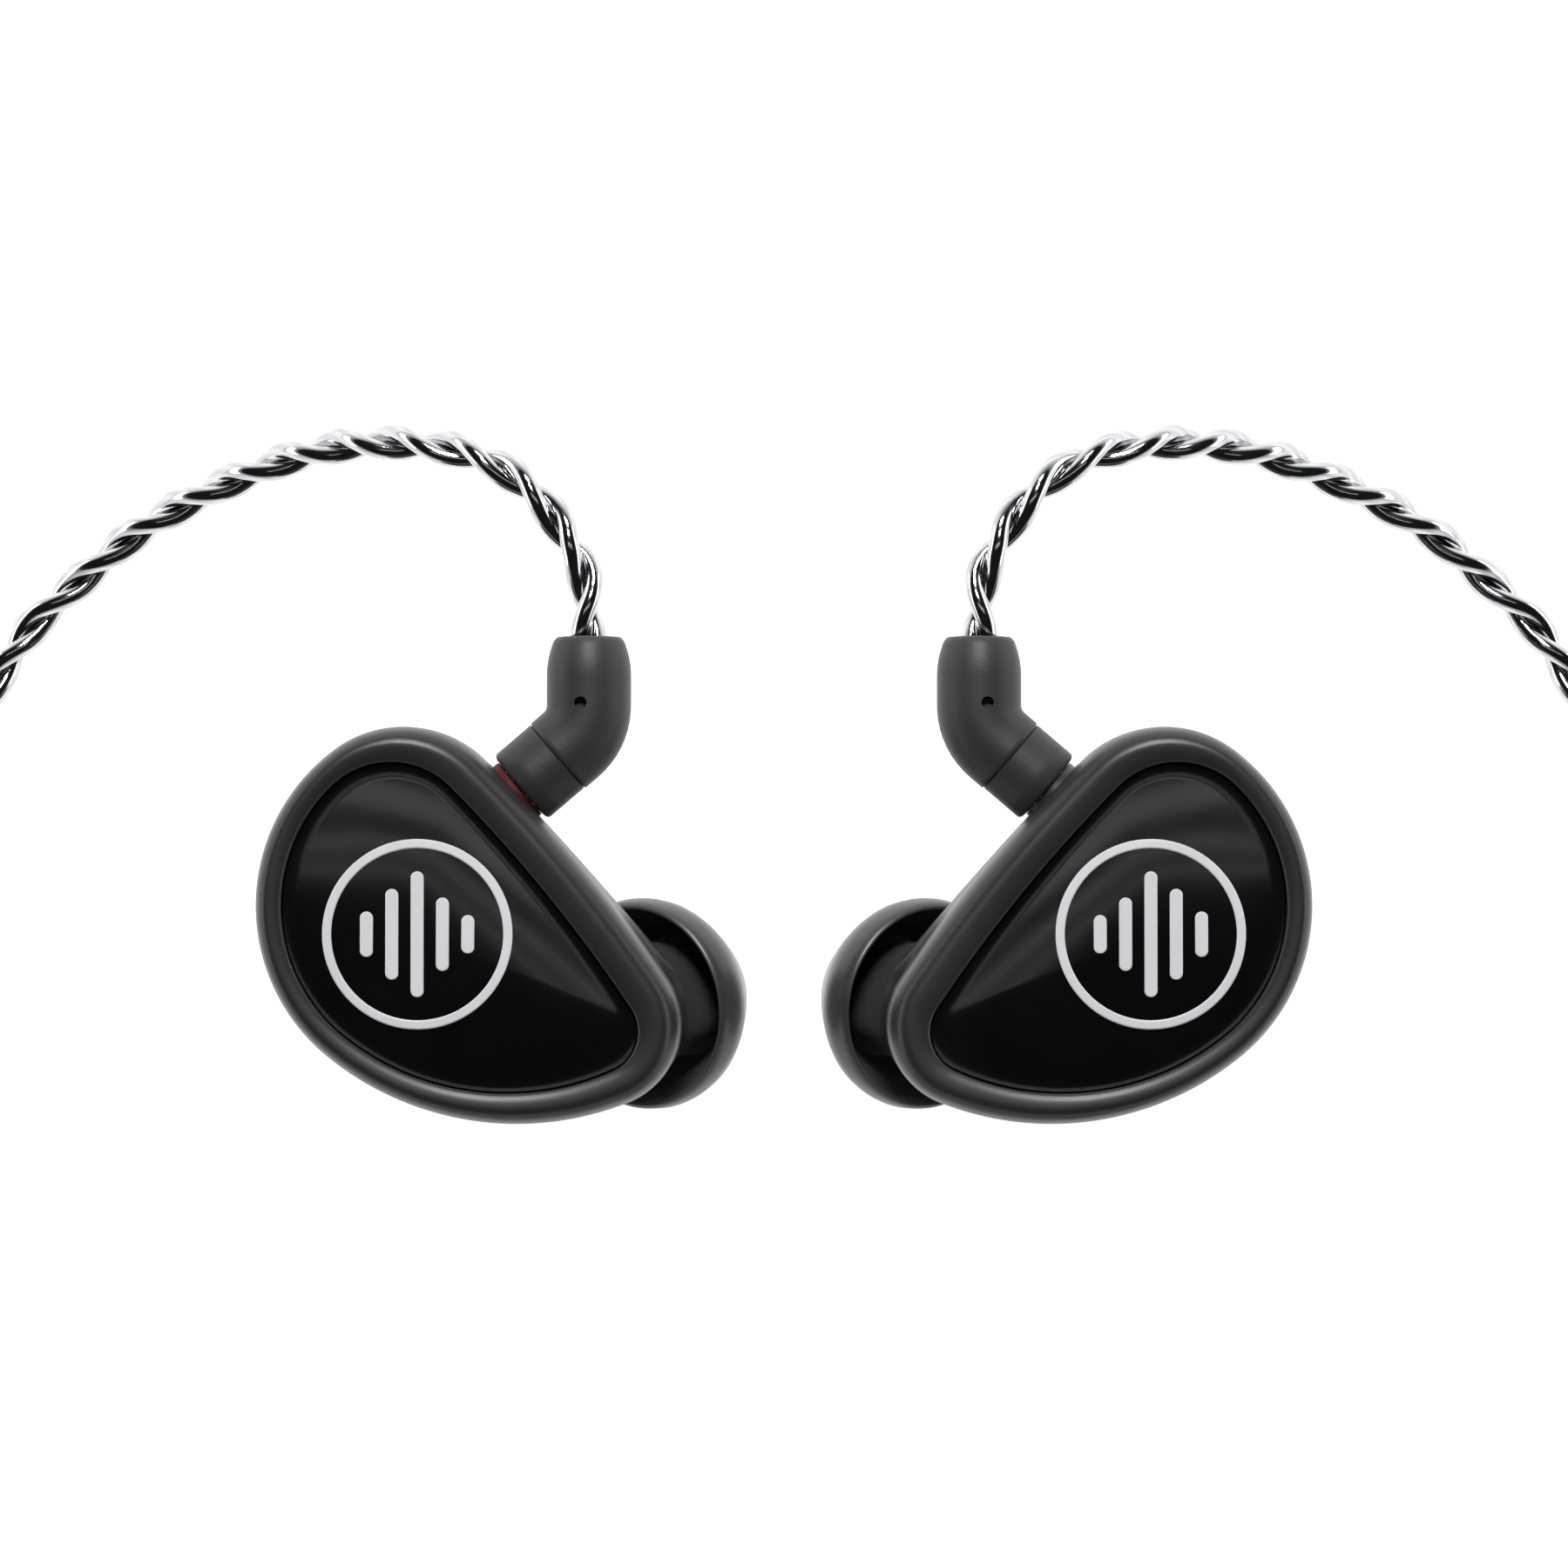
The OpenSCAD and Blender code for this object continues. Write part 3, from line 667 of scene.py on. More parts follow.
@dataclass
class Earpiece:
    """The right earpiece, in millimetres in its own frame, and the move to its place."""

    shell: Outline = Outline(((11.2, 231), (17.3, 291.7), (4.8, 400), (6.55, 126)))
    plate: Outline = Outline(((9.6, 231), (14.8, 294.4), (2.45, 400), (4.8, 134)))
    wall: float = 1.0
    wall_height: float = 2.3
    crown: float = 0.7
    groove: float = 0.3
    pocket: float = 2.1
    ledge: float = 0.7
    plate_edge: float = 0.52
    plate_top: float = 0.16
    dome_drop: float = 0.42
    dome_power: float = 2.2
    depth: float = 6.15
    tilt: float = 33.0
    turn: float = 12.0
    root_at: tuple[float, float] = (9.6, -6.3)
    root_radius: float = 4.6
    bore_radius: float = 3.0
    emblem_at: tuple[float, float] = (-1.8, -1.6)
    emblem_radius: float = 5.45
    emblem_width: float = 0.52
    emblem_foot: float = -0.15
    emblem_side: float = 0.08
    emblem_top: float = 0.13
    bars: tuple[float, ...] = (2.6, 5.2, 7.2, 4.2, 2.2)
    bar_width: float = 0.75
    bar_step: float = 1.45
    belly: tuple[float, float] = (1.5, -1.6)

    def __post_init__(self) -> None:
        """Read the earpiece's place from the CAD frame."""
        low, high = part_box("right_front_shell")
        back_radius, reach_up = self.shell.arcs[0][0], max(p.y for p in self.shell.points())
        self.origin = Vector((low[0] + back_radius * MM, high[1] - reach_up * MM, 0))
        self.seam = low[2] / MM
        self.crest = high[2] / MM
        tip, turn = math.radians(self.tilt), math.radians(self.turn)
        self.axis = Vector((math.sin(tip) * math.cos(turn), math.sin(tip) * math.sin(turn), -math.cos(tip)))
        self.side_a = Vector((math.cos(tip) * math.cos(turn), math.cos(tip) * math.sin(turn), math.sin(tip)))
        self.side_b = Vector((-math.sin(turn), math.cos(turn), 0))
        self.root = Vector((*self.root_at, self.seam - self.depth))

    def at(self, p: Vector | tuple[float, float], z: float) -> Vector:
        """Point of the object at a plan point of the earpiece and a height."""
        return self.origin + Vector((p[0], p[1], z)) * MM

    def ring(self, points: list[Vector], z: float) -> list[Vector]:
        """Level ring of the object's points."""
        return [self.at(p, z) for p in points]

    def blend(self, share: float) -> list[Vector]:
        """Outline between the shell's (0) and the plate's (1)."""
        return [p.lerp(q, share) for p, q in zip(self.shell.points(), self.plate.points())]

    def nozzle_frame(self) -> Matrix:
        """Move from a frame with +Z along the nozzle to the object."""
        turn = Matrix.Rotation(math.radians(self.turn), 4, "Z")
        tip = Matrix.Rotation(math.radians(180 - self.tilt), 4, "Y")
        return Matrix.Translation(self.origin + self.root * MM) @ turn @ tip

    def front(self) -> bpy.types.Object:
        """Front shell with its rounded rim and the pocket for the plate."""
        wall_top = self.seam + self.wall_height
        groove, floor = self.crest - self.groove, self.crest - self.pocket
        outer, inner, ledge = self.shell.points(), self.shell.points(self.wall), self.plate.points(self.ledge)
        rings = [self.ring(inner, self.seam), self.ring(inner, floor - 1.6), self.ring(ledge, floor - 0.8),
                 self.ring(ledge, floor), self.ring(self.plate.points(), floor)]
        steps = 9
        for i in range(steps, -1, -1):
            t = math.pi / 2 * i / steps
            height = groove + (self.crest - groove) * math.cos(t)
            rings.append(self.ring(self.blend(0.5 + 0.5 * math.sin(t)), height))
        for i in range(1, steps + 1):
            t = math.pi / 2 * i / steps
            height = wall_top + (self.crest - wall_top) * max(math.cos(t), 0.0) ** self.crown
            rings.append(self.ring(self.blend(0.5 - 0.5 * math.sin(t)), height))
        rings += [self.ring(outer, self.seam + 0.9), self.ring(outer, self.seam + 0.12),
                  self.ring(self.shell.points(0.1), self.seam + 0.02)]
        obj = lofted("right_front_casing", rings, loop=True)
        smooth(obj, 50)
        return obj

    def circle(self, radius: float, back: float) -> list[Vector]:
        """Circle round the nozzle root, one point for each outline point.

        Args:
            radius: Its radius.
            back: Distance inside the root's face.

        Returns:
            The points, in the earpiece's frame.
        """
        centre = self.root - self.axis * back
        made = []
        for p in self.shell.points():
            t = math.atan2(p.y - self.belly[1], p.x - self.belly[0]) - math.radians(self.turn)
            made.append(centre + radius * (math.cos(t) * self.side_a + math.sin(t) * self.side_b))
        return made

    def belly_ring(self, edge: list[Vector], circle: list[Vector], share: float) -> list[Vector]:
        """Section of the rear shell.

        Args:
            edge: Plan points at the seam.
            circle: Points at the nozzle root.
            share: 0 at the seam and 1 at the root.

        Returns:
            The section's points, in the object's frame.
        """
        across, down = 1 - math.cos(math.pi / 2 * share), math.sin(math.pi / 2 * share)
        return [self.at((e.x * (1 - across) + c.x * across, e.y * (1 - across) + c.y * across),
                        self.seam * (1 - down) + c.z * down) for e, c in zip(edge, circle)]

    def rear(self) -> bpy.types.Object:
        """Rear shell that narrows to the nozzle root."""
        steps = 22
        outer, inner = self.shell.points(), self.shell.points(self.wall)
        rim, bore = self.circle(self.root_radius, 0), self.circle(self.bore_radius, 0)
        back = self.circle(self.bore_radius, self.wall)
        rings = [self.ring(self.shell.points(0.1), self.seam - 0.02)]
        rings += [self.belly_ring(outer, rim, max(i / steps, 0.012)) for i in range(steps + 1)]
        rings += [[self.origin + c * MM for c in bore]]
        rings += [self.belly_ring(inner, back, i / steps) for i in range(steps, -1, -1)]
        obj = lofted("right_rear_casing", rings, loop=True)
        smooth(obj, 50)
        return obj

    def dome(self, share: float) -> float:
        """Height of the faceplate between its middle (0) and its edge (1)."""
        return self.crest - self.plate_top - self.dome_drop * share ** self.dome_power

    def on_plate(self, p: Vector, lift: float) -> Vector:
        """Point of the object over the faceplate.

        Args:
            p: Plan point of the earpiece.
            lift: Height over the plate's surface.

        Returns:
            The point.
        """
        centre = Vector(self.emblem_at)
        off = p - centre
        far = off.length
        share = min(far / self.plate.reach(centre, off / far), 1.0)
        return self.at(p, self.dome(share) + lift)

    def plate_piece(self) -> bpy.types.Object:
        """Domed faceplate with a fine bevelled edge."""
        centre = Vector(self.emblem_at)
        edge, wall, rim = self.plate.points(0.36), self.plate.points(0.06), self.crest - self.plate_edge
        rings = [self.ring(wall, self.crest - self.pocket), self.ring(wall, rim - 0.16),
                 self.ring(self.plate.points(0.10), rim - 0.02)]
        steps = 15
        for i in range(steps):
            share = 1 - i / steps
            rings.append([self.at(centre + (p - centre) * share, self.dome(share)) for p in edge])
        obj = lofted("right_face_cover", rings, start_cap=True, end_cap=True)
        smooth(obj, 22)
        return obj

    def bar(self, x: float, height: float) -> list[list[Vector]]:
        """Rings of one round-ended level bar.

        Args:
            x: Its place across the emblem.
            height: Its length.

        Returns:
            Rings from its foot to its top.
        """
        centre = Vector(self.emblem_at) + Vector((x, 0))
        round_end, half, sides = self.bar_width / 2, (height - self.bar_width) / 2, 24
        rings = []
        for grow, lift in ((1.0, self.emblem_foot), (1.0, self.emblem_side), (0.8, self.emblem_top)):
            ring = []
            for i in range(sides):
                t = turned(i, sides)
                y = round_end * math.sin(t) + (half if i < sides / 2 else -half)
                y -= (1 - grow) * math.copysign(round_end, y) * 0.6
                ring.append(self.on_plate(centre + Vector((math.cos(t) * round_end * grow, y)), lift))
            rings.append(ring)
        return rings

    def emblem_piece(self) -> bpy.types.Object:
        """Raised ring with five level bars, following the plate's dome."""
        centre, bevel, sides = Vector(self.emblem_at), 0.07, 120
        outer, inner = self.emblem_radius, self.emblem_radius - self.emblem_width
        section = [(outer, self.emblem_foot), (outer, self.emblem_side), (outer - bevel, self.emblem_top),
                   (inner + bevel, self.emblem_top), (inner, self.emblem_side), (inner, self.emblem_foot)]
        rings = [[self.on_plate(centre + radius * heading(360 * i / sides), lift) for i in range(sides)]
                 for radius, lift in section]
        obj = lofted("right_badge", rings, loop=True)
        parts = [obj]
        for i, height in enumerate(self.bars):
            rings = self.bar((i - len(self.bars) // 2) * self.bar_step, height)
            parts.append(lofted(f"bar_{i}", rings, start_cap=True, end_cap=True))
        only(obj)
        for part in parts:
            part.select_set(True)
        bpy.ops.object.join()
        smooth(obj, 30)
        return obj

    def tip_piece(self) -> bpy.types.Object:
        """Silicone ear tip: an umbrella with a rolled rim round a thick core."""
        outer = [(5.80, 1.66), (5.92, 1.60), (6.04, 1.66), (6.19, 2.1), (6.28, 2.8), (6.23, 3.3), (6.08, 3.9),
                 (5.74, 4.6), (5.34, 5.3), (4.88, 6.1), (4.45, 6.8), (3.95, 7.6), (3.45, 8.3), (3.12, 8.75),
                 (2.78, 9.1), (2.45, 9.27), (2.05, 9.3)]
        inner = [(1.9, 9.2), (1.9, 5.9), (2.74, 5.9), (2.74, 0.75), (2.85, 0.66), (3.5, 0.66), (3.62, 0.8),
                 (3.55, 3.0), (3.45, 5.4), (3.4, 6.2), (3.6, 6.75), (4.0, 6.6), (4.45, 5.9), (4.92, 5.1),
                 (5.33, 4.35), (5.6, 3.6), (5.7, 2.9), (5.74, 2.1)]
        obj = spun("right_tip", outer + inner, 112)
        put(obj, self.nozzle_frame())
        smooth(obj, 50)
        return obj

    def nozzle_piece(self) -> bpy.types.Object:
        """Turned nozzle with a lip and a seat flange."""
        obj = spun("right_sound_nozzle", [
            (2.0, -1.2), (2.94, -1.2), (2.94, 0), (4.2, 0), (4.3, 0.1), (4.3, 0.4), (4.2, 0.5), (2.62, 0.5),
            (2.5, 0.62), (2.5, 4.6), (2.55, 4.75), (2.72, 4.92), (2.72, 5.35), (2.62, 5.52), (2.5, 5.6),
            (2.1, 5.6), (2.0, 5.5)], 72)
        put(obj, self.nozzle_frame())
        smooth(obj, 35)
        return obj


@dataclass
class Elbow:
    """Angled connector on the earpiece end of a lead, in millimetres."""

    ear: Earpiece
    turn: float = 40.5
    side: float = 2.6
    face: float = 7.4
    radius: float = 2.45
    arm: float = 5.2
    collar: float = 2.8
    bend_radius: float = 3.0
    barrel: float = 3.1
    taper: float = 1.95
    end_radius: float = 1.95
    lip: float = 0.3
    dot_radius: float = 0.36
    dot_depth: float = 0.8

    def __post_init__(self) -> None:
        """Work out the bend's angle and what it takes off each straight."""
        self.bend = math.radians(90 - self.turn)
        self.cut = self.bend_radius * math.tan(self.bend / 2)

    def frame_at(self, along: float) -> tuple[Vector, Vector]:
        """Centre line of the connector.

        Args:
            along: Distance from its face.

        Returns:
            The centre and the direction there.
        """
        out, across = heading(self.turn).to_3d(), heading(self.turn + 90).to_3d()
        start = across * self.side + out * self.face + UP * self.ear.seam
        straight = self.arm - self.cut
        if along <= straight:
            return start + out * along, out
        t = min((along - straight) / self.bend_radius, self.bend)
        reach, rise = self.bend_radius * math.sin(t), self.bend_radius * (1 - math.cos(t))
        here = start + out * (straight + reach) + across * rise
        head = out * math.cos(t) + across * math.sin(t)
        past = along - straight - self.bend_radius * self.bend
        return (here + head * past, head) if past > 0 else (here, head)

    def section(self, along: float, radius: float, count: int = 64) -> list[Vector]:
        """Ring of the connector.

        Args:
            along: Distance from its face.
            radius: Its radius there.
            count: Points of the ring.

        Returns:
            The points, in the object's frame.
        """
        here, head = self.frame_at(along)
        across = Vector((-head.y, head.x, 0))
        made = []
        for i in range(count):
            t = turned(i, count)
            made.append(self.ear.origin + (here + radius * (across * math.cos(t) + UP * math.sin(t))) * MM)
        return made

    def length(self) -> float:
        """Whole length along the centre line."""
        return self.arm - self.cut + self.bend_radius * self.bend + self.barrel - self.cut + self.taper

    def body_piece(self) -> bpy.types.Object:
        """Elbow from the collar to the cable end."""
        total, foot, full = self.length(), self.collar, self.radius
        stops = [(foot + 0.01, full - 0.14), (foot + 0.04, full - 0.05), (foot + 0.12, full)]
        swept, bulge = 16, 9
        step = (total - self.taper - foot - 0.35) / swept
        stops += [(foot + 0.35 + i * step, full) for i in range(swept + 1)]
        ease, run, bent = full - self.end_radius, self.taper + self.lip, total - self.taper
        stops += [(bent + run * k / bulge, full - ease * (k / bulge) ** 2) for k in range(1, bulge)]
        end = total + self.lip
        stops += [(end - 0.12, self.end_radius), (end - 0.03, self.end_radius - 0.07),
                  (end + 0.02, self.end_radius - 0.25), (end + 0.06, 1.15), (end - 0.5, 1.1)]
        obj = lofted("right_elbow_body", [self.section(a, r) for a, r in stops], start_cap=True, end_cap=True)
        self.drill(obj)
        smooth(obj, 40)
        return obj

    def drill(self, obj: bpy.types.Object) -> None:
        """Cut the round dot into the elbow's upper side.

        Args:
            obj: The elbow.
        """
        here, _ = self.frame_at(self.arm + 0.5)
        place = self.ear.origin + (here + Vector((-0.35, 0.85, self.radius - 0.1))) * MM
        deselect()
        bpy.ops.mesh.primitive_cylinder_add(vertices=32, radius=self.dot_radius * MM,
                                            depth=(self.dot_depth - 0.1) * 2 * MM, location=place)
        cutter = bpy.context.object
        only(obj)
        hole = obj.modifiers.new("dot", "BOOLEAN")
        hole.object = cutter
        hole.solver = "EXACT"
        bpy.ops.object.modifier_apply(modifier=hole.name)
        bpy.data.objects.remove(cutter)

    def collar_piece(self) -> bpy.types.Object:
        """Collar that grips the pins."""
        c, r = self.collar, self.radius - 0.06
        stops = [(0.0, r - 0.3), (0.05, r - 0.12), (0.2, r), (1.2, r), (2.3, r), (c - 0.06, r),
                 (c - 0.02, r - 0.04), (c, r - 0.1)]
        rings = [self.section(a, q) for a, q in stops]
        obj = lofted("right_elbow_sleeve", rings, start_cap=True, end_cap=True)
        smooth(obj, 40)
        return obj


# ---------------------------------------------------------------- cable


def catmull(points: list[Vector], spacing: float) -> list[Vector]:
    """Smooth curve through given points, evenly stepped.

    Args:
        points: Route points.
        spacing: Step between the points returned, in the same unit.

    Returns:
        Points on the curve.
    """
    pts = [points[0] * 2 - points[1]] + points + [points[-1] * 2 - points[-2]]
    fine, parts = [], 16
    for i in range(1, len(pts) - 2):
        a, b, c, d = pts[i - 1:i + 3]
        square, cube = 2 * a - 5 * b + 4 * c - d, 3 * b - a - 3 * c + d
        for k in range(parts):
            t = k / parts
            fine.append(0.5 * (2 * b + (c - a) * t + square * t * t + cube * t ** 3))
    fine.append(points[-1])
    even, left = [fine[0]], spacing
    for a, b in zip(fine, fine[1:]):
        step = (b - a).length
        while step >= left > 0:
            a = a + (b - a) * (left / step)
            even.append(a)
            step = (b - a).length
            left = spacing
        left -= step
    if (even[-1] - fine[-1]).length > spacing * 0.3:
        even.append(fine[-1])
    return even


def measured(path: list[Vector]) -> float:
    """Length of a path."""
    return sum((b - a).length for a, b in zip(path, path[1:]))


def frames_along(path: list[Vector]) -> list[tuple[Vector, Vector, Vector]]:
    """Each point of a path with its sideways and upward directions.

    Args:
        path: Points of a line that is nowhere upright.

    Returns:
        Point, side and top, one row for each point.
    """
    made = []
    for i, p in enumerate(path):
        head = (path[min(i + 1, len(path) - 1)] - path[max(i - 1, 0)]).normalized()
        side = head.cross(UP).normalized()
        made.append((p, side, side.cross(head)))
    return made


@dataclass(frozen=True)
class Lay:
    """How a cord's strands are twisted, in metres."""

    count: int
    strand: float
    radius: float
    pitch: float
    sides: int
    spacing: float

    def twist(self, name: str, path: list[Vector], hand: int) -> bpy.types.Object:
        """Twist the strands round a path, as one mesh.

        Args:
            name: Object name.
            path: Evenly stepped centre line, in metres.
            hand: 1 for a right-hand lay, -1 for a left-hand one.

        Returns:
            The object, with a UV map named strand.
        """
        frames, runs, last = frames_along(path), [0.0], len(path) - 1
        for a, b in zip(path, path[1:]):
            runs.append(runs[-1] + (b - a).length)
        verts, faces, uvs = [], [], []
        for strand in range(self.count):
            centres = []
            for (p, side, top), run in zip(frames, runs):
                t = hand * math.tau * run / self.pitch + turned(strand, self.count)
                centres.append(p + self.radius * (side * math.cos(t) + top * math.sin(t)))
            base = len(verts)
            for c, side, top in frames_along(centres):
                for k in range(self.sides):
                    t = turned(k, self.sides)
                    verts.append(c + self.strand / 2 * (side * math.cos(t) + top * math.sin(t)))
            for i in range(last):
                near, far = base + i * self.sides, base + (i + 1) * self.sides
                low, high = runs[i] / MM, runs[i + 1] / MM
                for k in range(self.sides):
                    n, u, v = (k + 1) % self.sides, k / self.sides, (k + 1) / self.sides
                    faces.append((near + k, near + n, far + n, far + k))
                    uvs += [(u, low), (v, low), (v, high), (u, high)]
            for end, order in ((0, range(self.sides - 1, -1, -1)), (last, range(self.sides))):
                faces.append(tuple(base + end * self.sides + k for k in order))
                uvs += [(k / self.sides, 0.0) for k in order]
        return self.mesh(name, verts, faces, uvs)

    @staticmethod
    def mesh(name: str, verts: list[Vector], faces: list[tuple],
             uvs: list[tuple[float, float]]) -> bpy.types.Object:
        """Make the cord's object.

        Args:
            name: Object name.
            verts: Corners.
            faces: Corner numbers of each face.
            uvs: One place on the map for each face corner.

        Returns:
            The object, smooth and with outward normals.
        """
        mesh = bpy.data.meshes.new(name)
        mesh.from_pydata(verts, [], faces)
        layer = mesh.uv_layers.new(name="strand")
        for i, uv in enumerate(uvs):
            layer.data[i].uv = uv
        obj = bpy.data.objects.new(name, mesh)
        bpy.context.collection.objects.link(obj)
        only(obj)
        bpy.ops.object.mode_set(mode="EDIT")
        bpy.ops.mesh.select_all(action="SELECT")
        bpy.ops.mesh.normals_make_consistent(inside=False)
        bpy.ops.object.mode_set(mode="OBJECT")
        smooth(obj, 60)
        return obj


@dataclass
class Hank:
    """Oval hank: straight runs with round ends, wound counter-clockwise; millimetres."""

    centre: tuple[float, float] = (21.0, -55.8)
    run: float = 24.0
    radii: tuple[float, ...] = (12.0, 9.6, 7.2, 4.8)
    shares: tuple[float, ...] = (-0.5, -0.17, 0.17, 0.5)

    def bottom(self, r: float, z: float) -> list[Vector]:
        """Lower run, left to right."""
        return [Vector((self.centre[0] + self.run * k, self.centre[1] - r, z)) for k in self.shares]

    def top(self, r: float, z: float) -> list[Vector]:
        """Upper run, right to left."""
        return [Vector((self.centre[0] - self.run * k, self.centre[1] + r, z)) for k in self.shares]

    def climb(self, r: float, low: float, high: float) -> list[Vector]:
        """Lower run that rises evenly, left to right."""
        run = self.bottom(r, low)
        return [p + UP * (high - low) * i / (len(run) - 1) for i, p in enumerate(run)]

    def end(self, right: bool, r0: float, r1: float, z0: float, z1: float) -> list[Vector]:
        """Half turn whose radius and height change evenly.

        Args:
            right: Whether it is the right-hand end.
            r0: First radius.
            r1: Last radius.
            z0: First height.
            z1: Last height.

        Returns:
            Points between the two runs.
        """
        middle = self.centre[0] + (self.run if right else -self.run) / 2
        made, parts = [], 9
        for i in range(1, parts):
            k = i / parts
            r = r0 + (r1 - r0) * k
            t = math.radians((-90 if right else 90) + 180 * k)
            x, y = middle + r * math.cos(t), self.centre[1] + r * math.sin(t)
            made.append(Vector((x, y, z0 + (z1 - z0) * k)))
        return made


def millimetres(rows: list[tuple[float, float, float]]) -> list[Vector]:
    """Rows of numbers as vectors."""
    return [Vector(row) for row in rows]


@dataclass
class Cable:
    """The leads, the main cable and what is on them; millimetres."""

    elbow: Elbow
    hank: Hank = field(default_factory=Hank)
    lead_d: float = 2.15
    main_d: float = 2.4
    lead_lay: Lay = Lay(2, 1.1 * MM, 0.53 * MM, 7.8 * MM, 14, 0.35 * MM)
    main_lay: Lay = Lay(4, 0.98 * MM, 0.7 * MM, 9.0 * MM, 8, 0.4 * MM)
    lead_heights: tuple[float, float] = (6.3, 8.43)
    main_heights: tuple[float, float] = (1.68, 4.0)

    def shown_route(self) -> list[Vector]:
        """Stretch of the right lead from its elbow over the arch to the table."""
        end, _ = self.elbow.frame_at(self.elbow.length())
        first = self.elbow.ear.origin / MM + end
        return [Vector((first.x, first.y, self.elbow.ear.seam))] + millimetres([
            (-11.6, 17.7, 15.1), (-12.6, 19.7, 15), (-14.4, 22.3, 14.6), (-17.4, 24.4, 13.6),
            (-20.9, 25.3, 12), (-24.5, 25.5, 10.1), (-27.8, 25.1, 8.2), (-31.4, 24, 6.3),
            (-35, 22.5, 4.6), (-38.5, 20.6, 3.1),
            (-41.4, 18.3, 2), (-43.7, 16.3, 1.4), (-45.5, 14.3, 1.2), (-47.6, 11, 1.2), (-49, 7, 1.2),
            (-49.6, 2, 1.2), (-49.6, -8, 1.2)])

    def right_route(self) -> list[Vector]:
        """Whole route of the right lead, from its elbow to the splitter."""
        h, (lo, hi), (r0, r1, r2, _) = self.hank, self.lead_heights, self.hank.radii
        route = self.shown_route() + millimetres([
            (-49.6, -20, 1.2), (-49.6, -32, 1.2), (-49.6, -43, 1.2), (-49.4, -51, 1.2), (-48.2, -57.8, 1.2),
            (-45, -64.2, 1.2), (-39.6, -68.4, 1.2), (-33, -70.1, 1.2), (-25, -70.4, 1.2), (-17, -70.4, 1.4),
            (-10, -70.2, 3.1), (-3, -69.6, 5.4), (3, -68.8, 6.4)])
        route += h.bottom(r0, lo) + h.end(True, r0, r1, lo, lo) + h.top(r1, lo) + h.end(False, r1, r2, lo, lo)
        route += h.climb(r2, lo, hi) + h.end(True, r2, r2, hi, hi) + h.top(r2, hi)
        return route + millimetres([
            (2, -48.8, 7.8), (-3, -49.9, 5.7), (-7, -51.4, 3.7), (-10.5, -51.9, 2.72), (-12.5, -51.9, 2.7),
            (-18, -51.9, 2.7), (-23, -51.9, 2.7)])

    def left_route(self) -> list[Vector]:
        """Whole route of the left lead, from its elbow to the splitter."""
        h, (lo, hi), (r0, r1, r2, r3) = self.hank, self.lead_heights, self.hank.radii
        route = [Vector((-p.x, p.y, p.z)) for p in self.shown_route()] + millimetres([
            (49.6, -18, 1.4), (49.6, -27, 2.6), (49.4, -33.5, 4.4), (49, -39, 5.7), (46, -43, 6.4),
            (40.5, -44, 6.4)])
        route += h.top(r0, lo) + h.end(False, r0, r1, lo, lo) + h.bottom(r1, lo) + h.end(True, r1, r2, lo, lo)
        route += h.top(r2, lo) + h.end(False, r2, r3, lo, lo)
        route += h.climb(r3, lo, hi) + h.end(True, r3, r3, hi, hi) + h.top(r3, hi)
        return route + millimetres([
            (2, -51.2, 7.8), (-3, -52.3, 5.7), (-7, -53.8, 3.7), (-10.5, -54.2, 2.72), (-12.5, -54.2, 2.7),
            (-18, -54.2, 2.7), (-23, -54.2, 2.7)])

    def main_route(self) -> list[Vector]:
        """Whole route of the main cable, from the splitter to the plug."""
        h, (lo, hi), radii = self.hank, self.main_heights, self.hank.radii
        route = millimetres([
            (-34.1, -53.05, 2.7), (-37.5, -53.3, 2.2), (-41.4, -55.4, 1.4), (-43.2, -59.4, 1.3),
            (-41.6, -63.6, 1.3), (-37.6, -66.2, 1.3), (-32, -67.3, 1.3), (-24, -67.8, 1.3),
            (-14, -67.8, 1.3), (-4, -67.8, 1.4),
            (3, -67.8, 1.6)])
        for r, after in zip(radii, radii[1:] + radii[-1:]):
            z = hi if r == after else lo
            route += h.bottom(r, lo) + h.end(True, r, r, lo, lo) + h.top(r, lo)
            route += h.end(False, r, after, lo, z)
        for r, after in zip(radii[::-1], radii[-2::-1] + (None,)):
            route += h.bottom(r, hi) + h.end(True, r, r, hi, hi) + h.top(r, hi)
            if after:
                route += h.end(False, r, after, hi, hi)
        return route + millimetres([(5.5, -43.9, 3.8), (1.5, -44.7, 3.5), (-2.9, -45, 3.4)])

    def strap(self, paints: Paints) -> bpy.types.Object:
        """Make the strap that ties the hank.

        Args:
            paints: Every finish.

        Returns:
            The strap.
        """
        low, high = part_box("hank_strap")
        thick, side, face, corner, least = 0.34 * MM, 0.2 * MM, 0.06 * MM, 1.1 * MM, 0.2 * MM
        inset, crown, eighths = 0.06 * MM, (high[0] - low[0]) * 0.1, 8
        section = [(low[0] + inset, 0.12 * MM), (low[0], side), (low[0], thick), (high[0], thick),
                   (high[0], side), (high[0] - inset, 0.12 * MM), (high[0] - crown, face),
                   (low[0] + crown, face)]
        rings = []
        for x, depth in section:
            ring = []
            r = max(corner - depth, least)
            y0, y1, z0, z1 = low[1] + depth + r, high[1] - depth - r, low[2] + depth + r, high[2] - depth - r
            for y, z, start in ((y1, z1, 0), (y0, z1, 90), (y0, z0, 180), (y1, z0, 270)):
                for k in range(eighths + 1):
                    t = math.radians(start + 90 * k / eighths)
                    ring.append(Vector((x, y + r * math.cos(t), z + r * math.sin(t))))
            rings.append(ring)
        obj = lofted("hank_tie", rings, loop=True)
        smooth(obj, 40)
        finish_piece(obj, paints.connector, "cable", "connector", "hank_strap")
        return obj

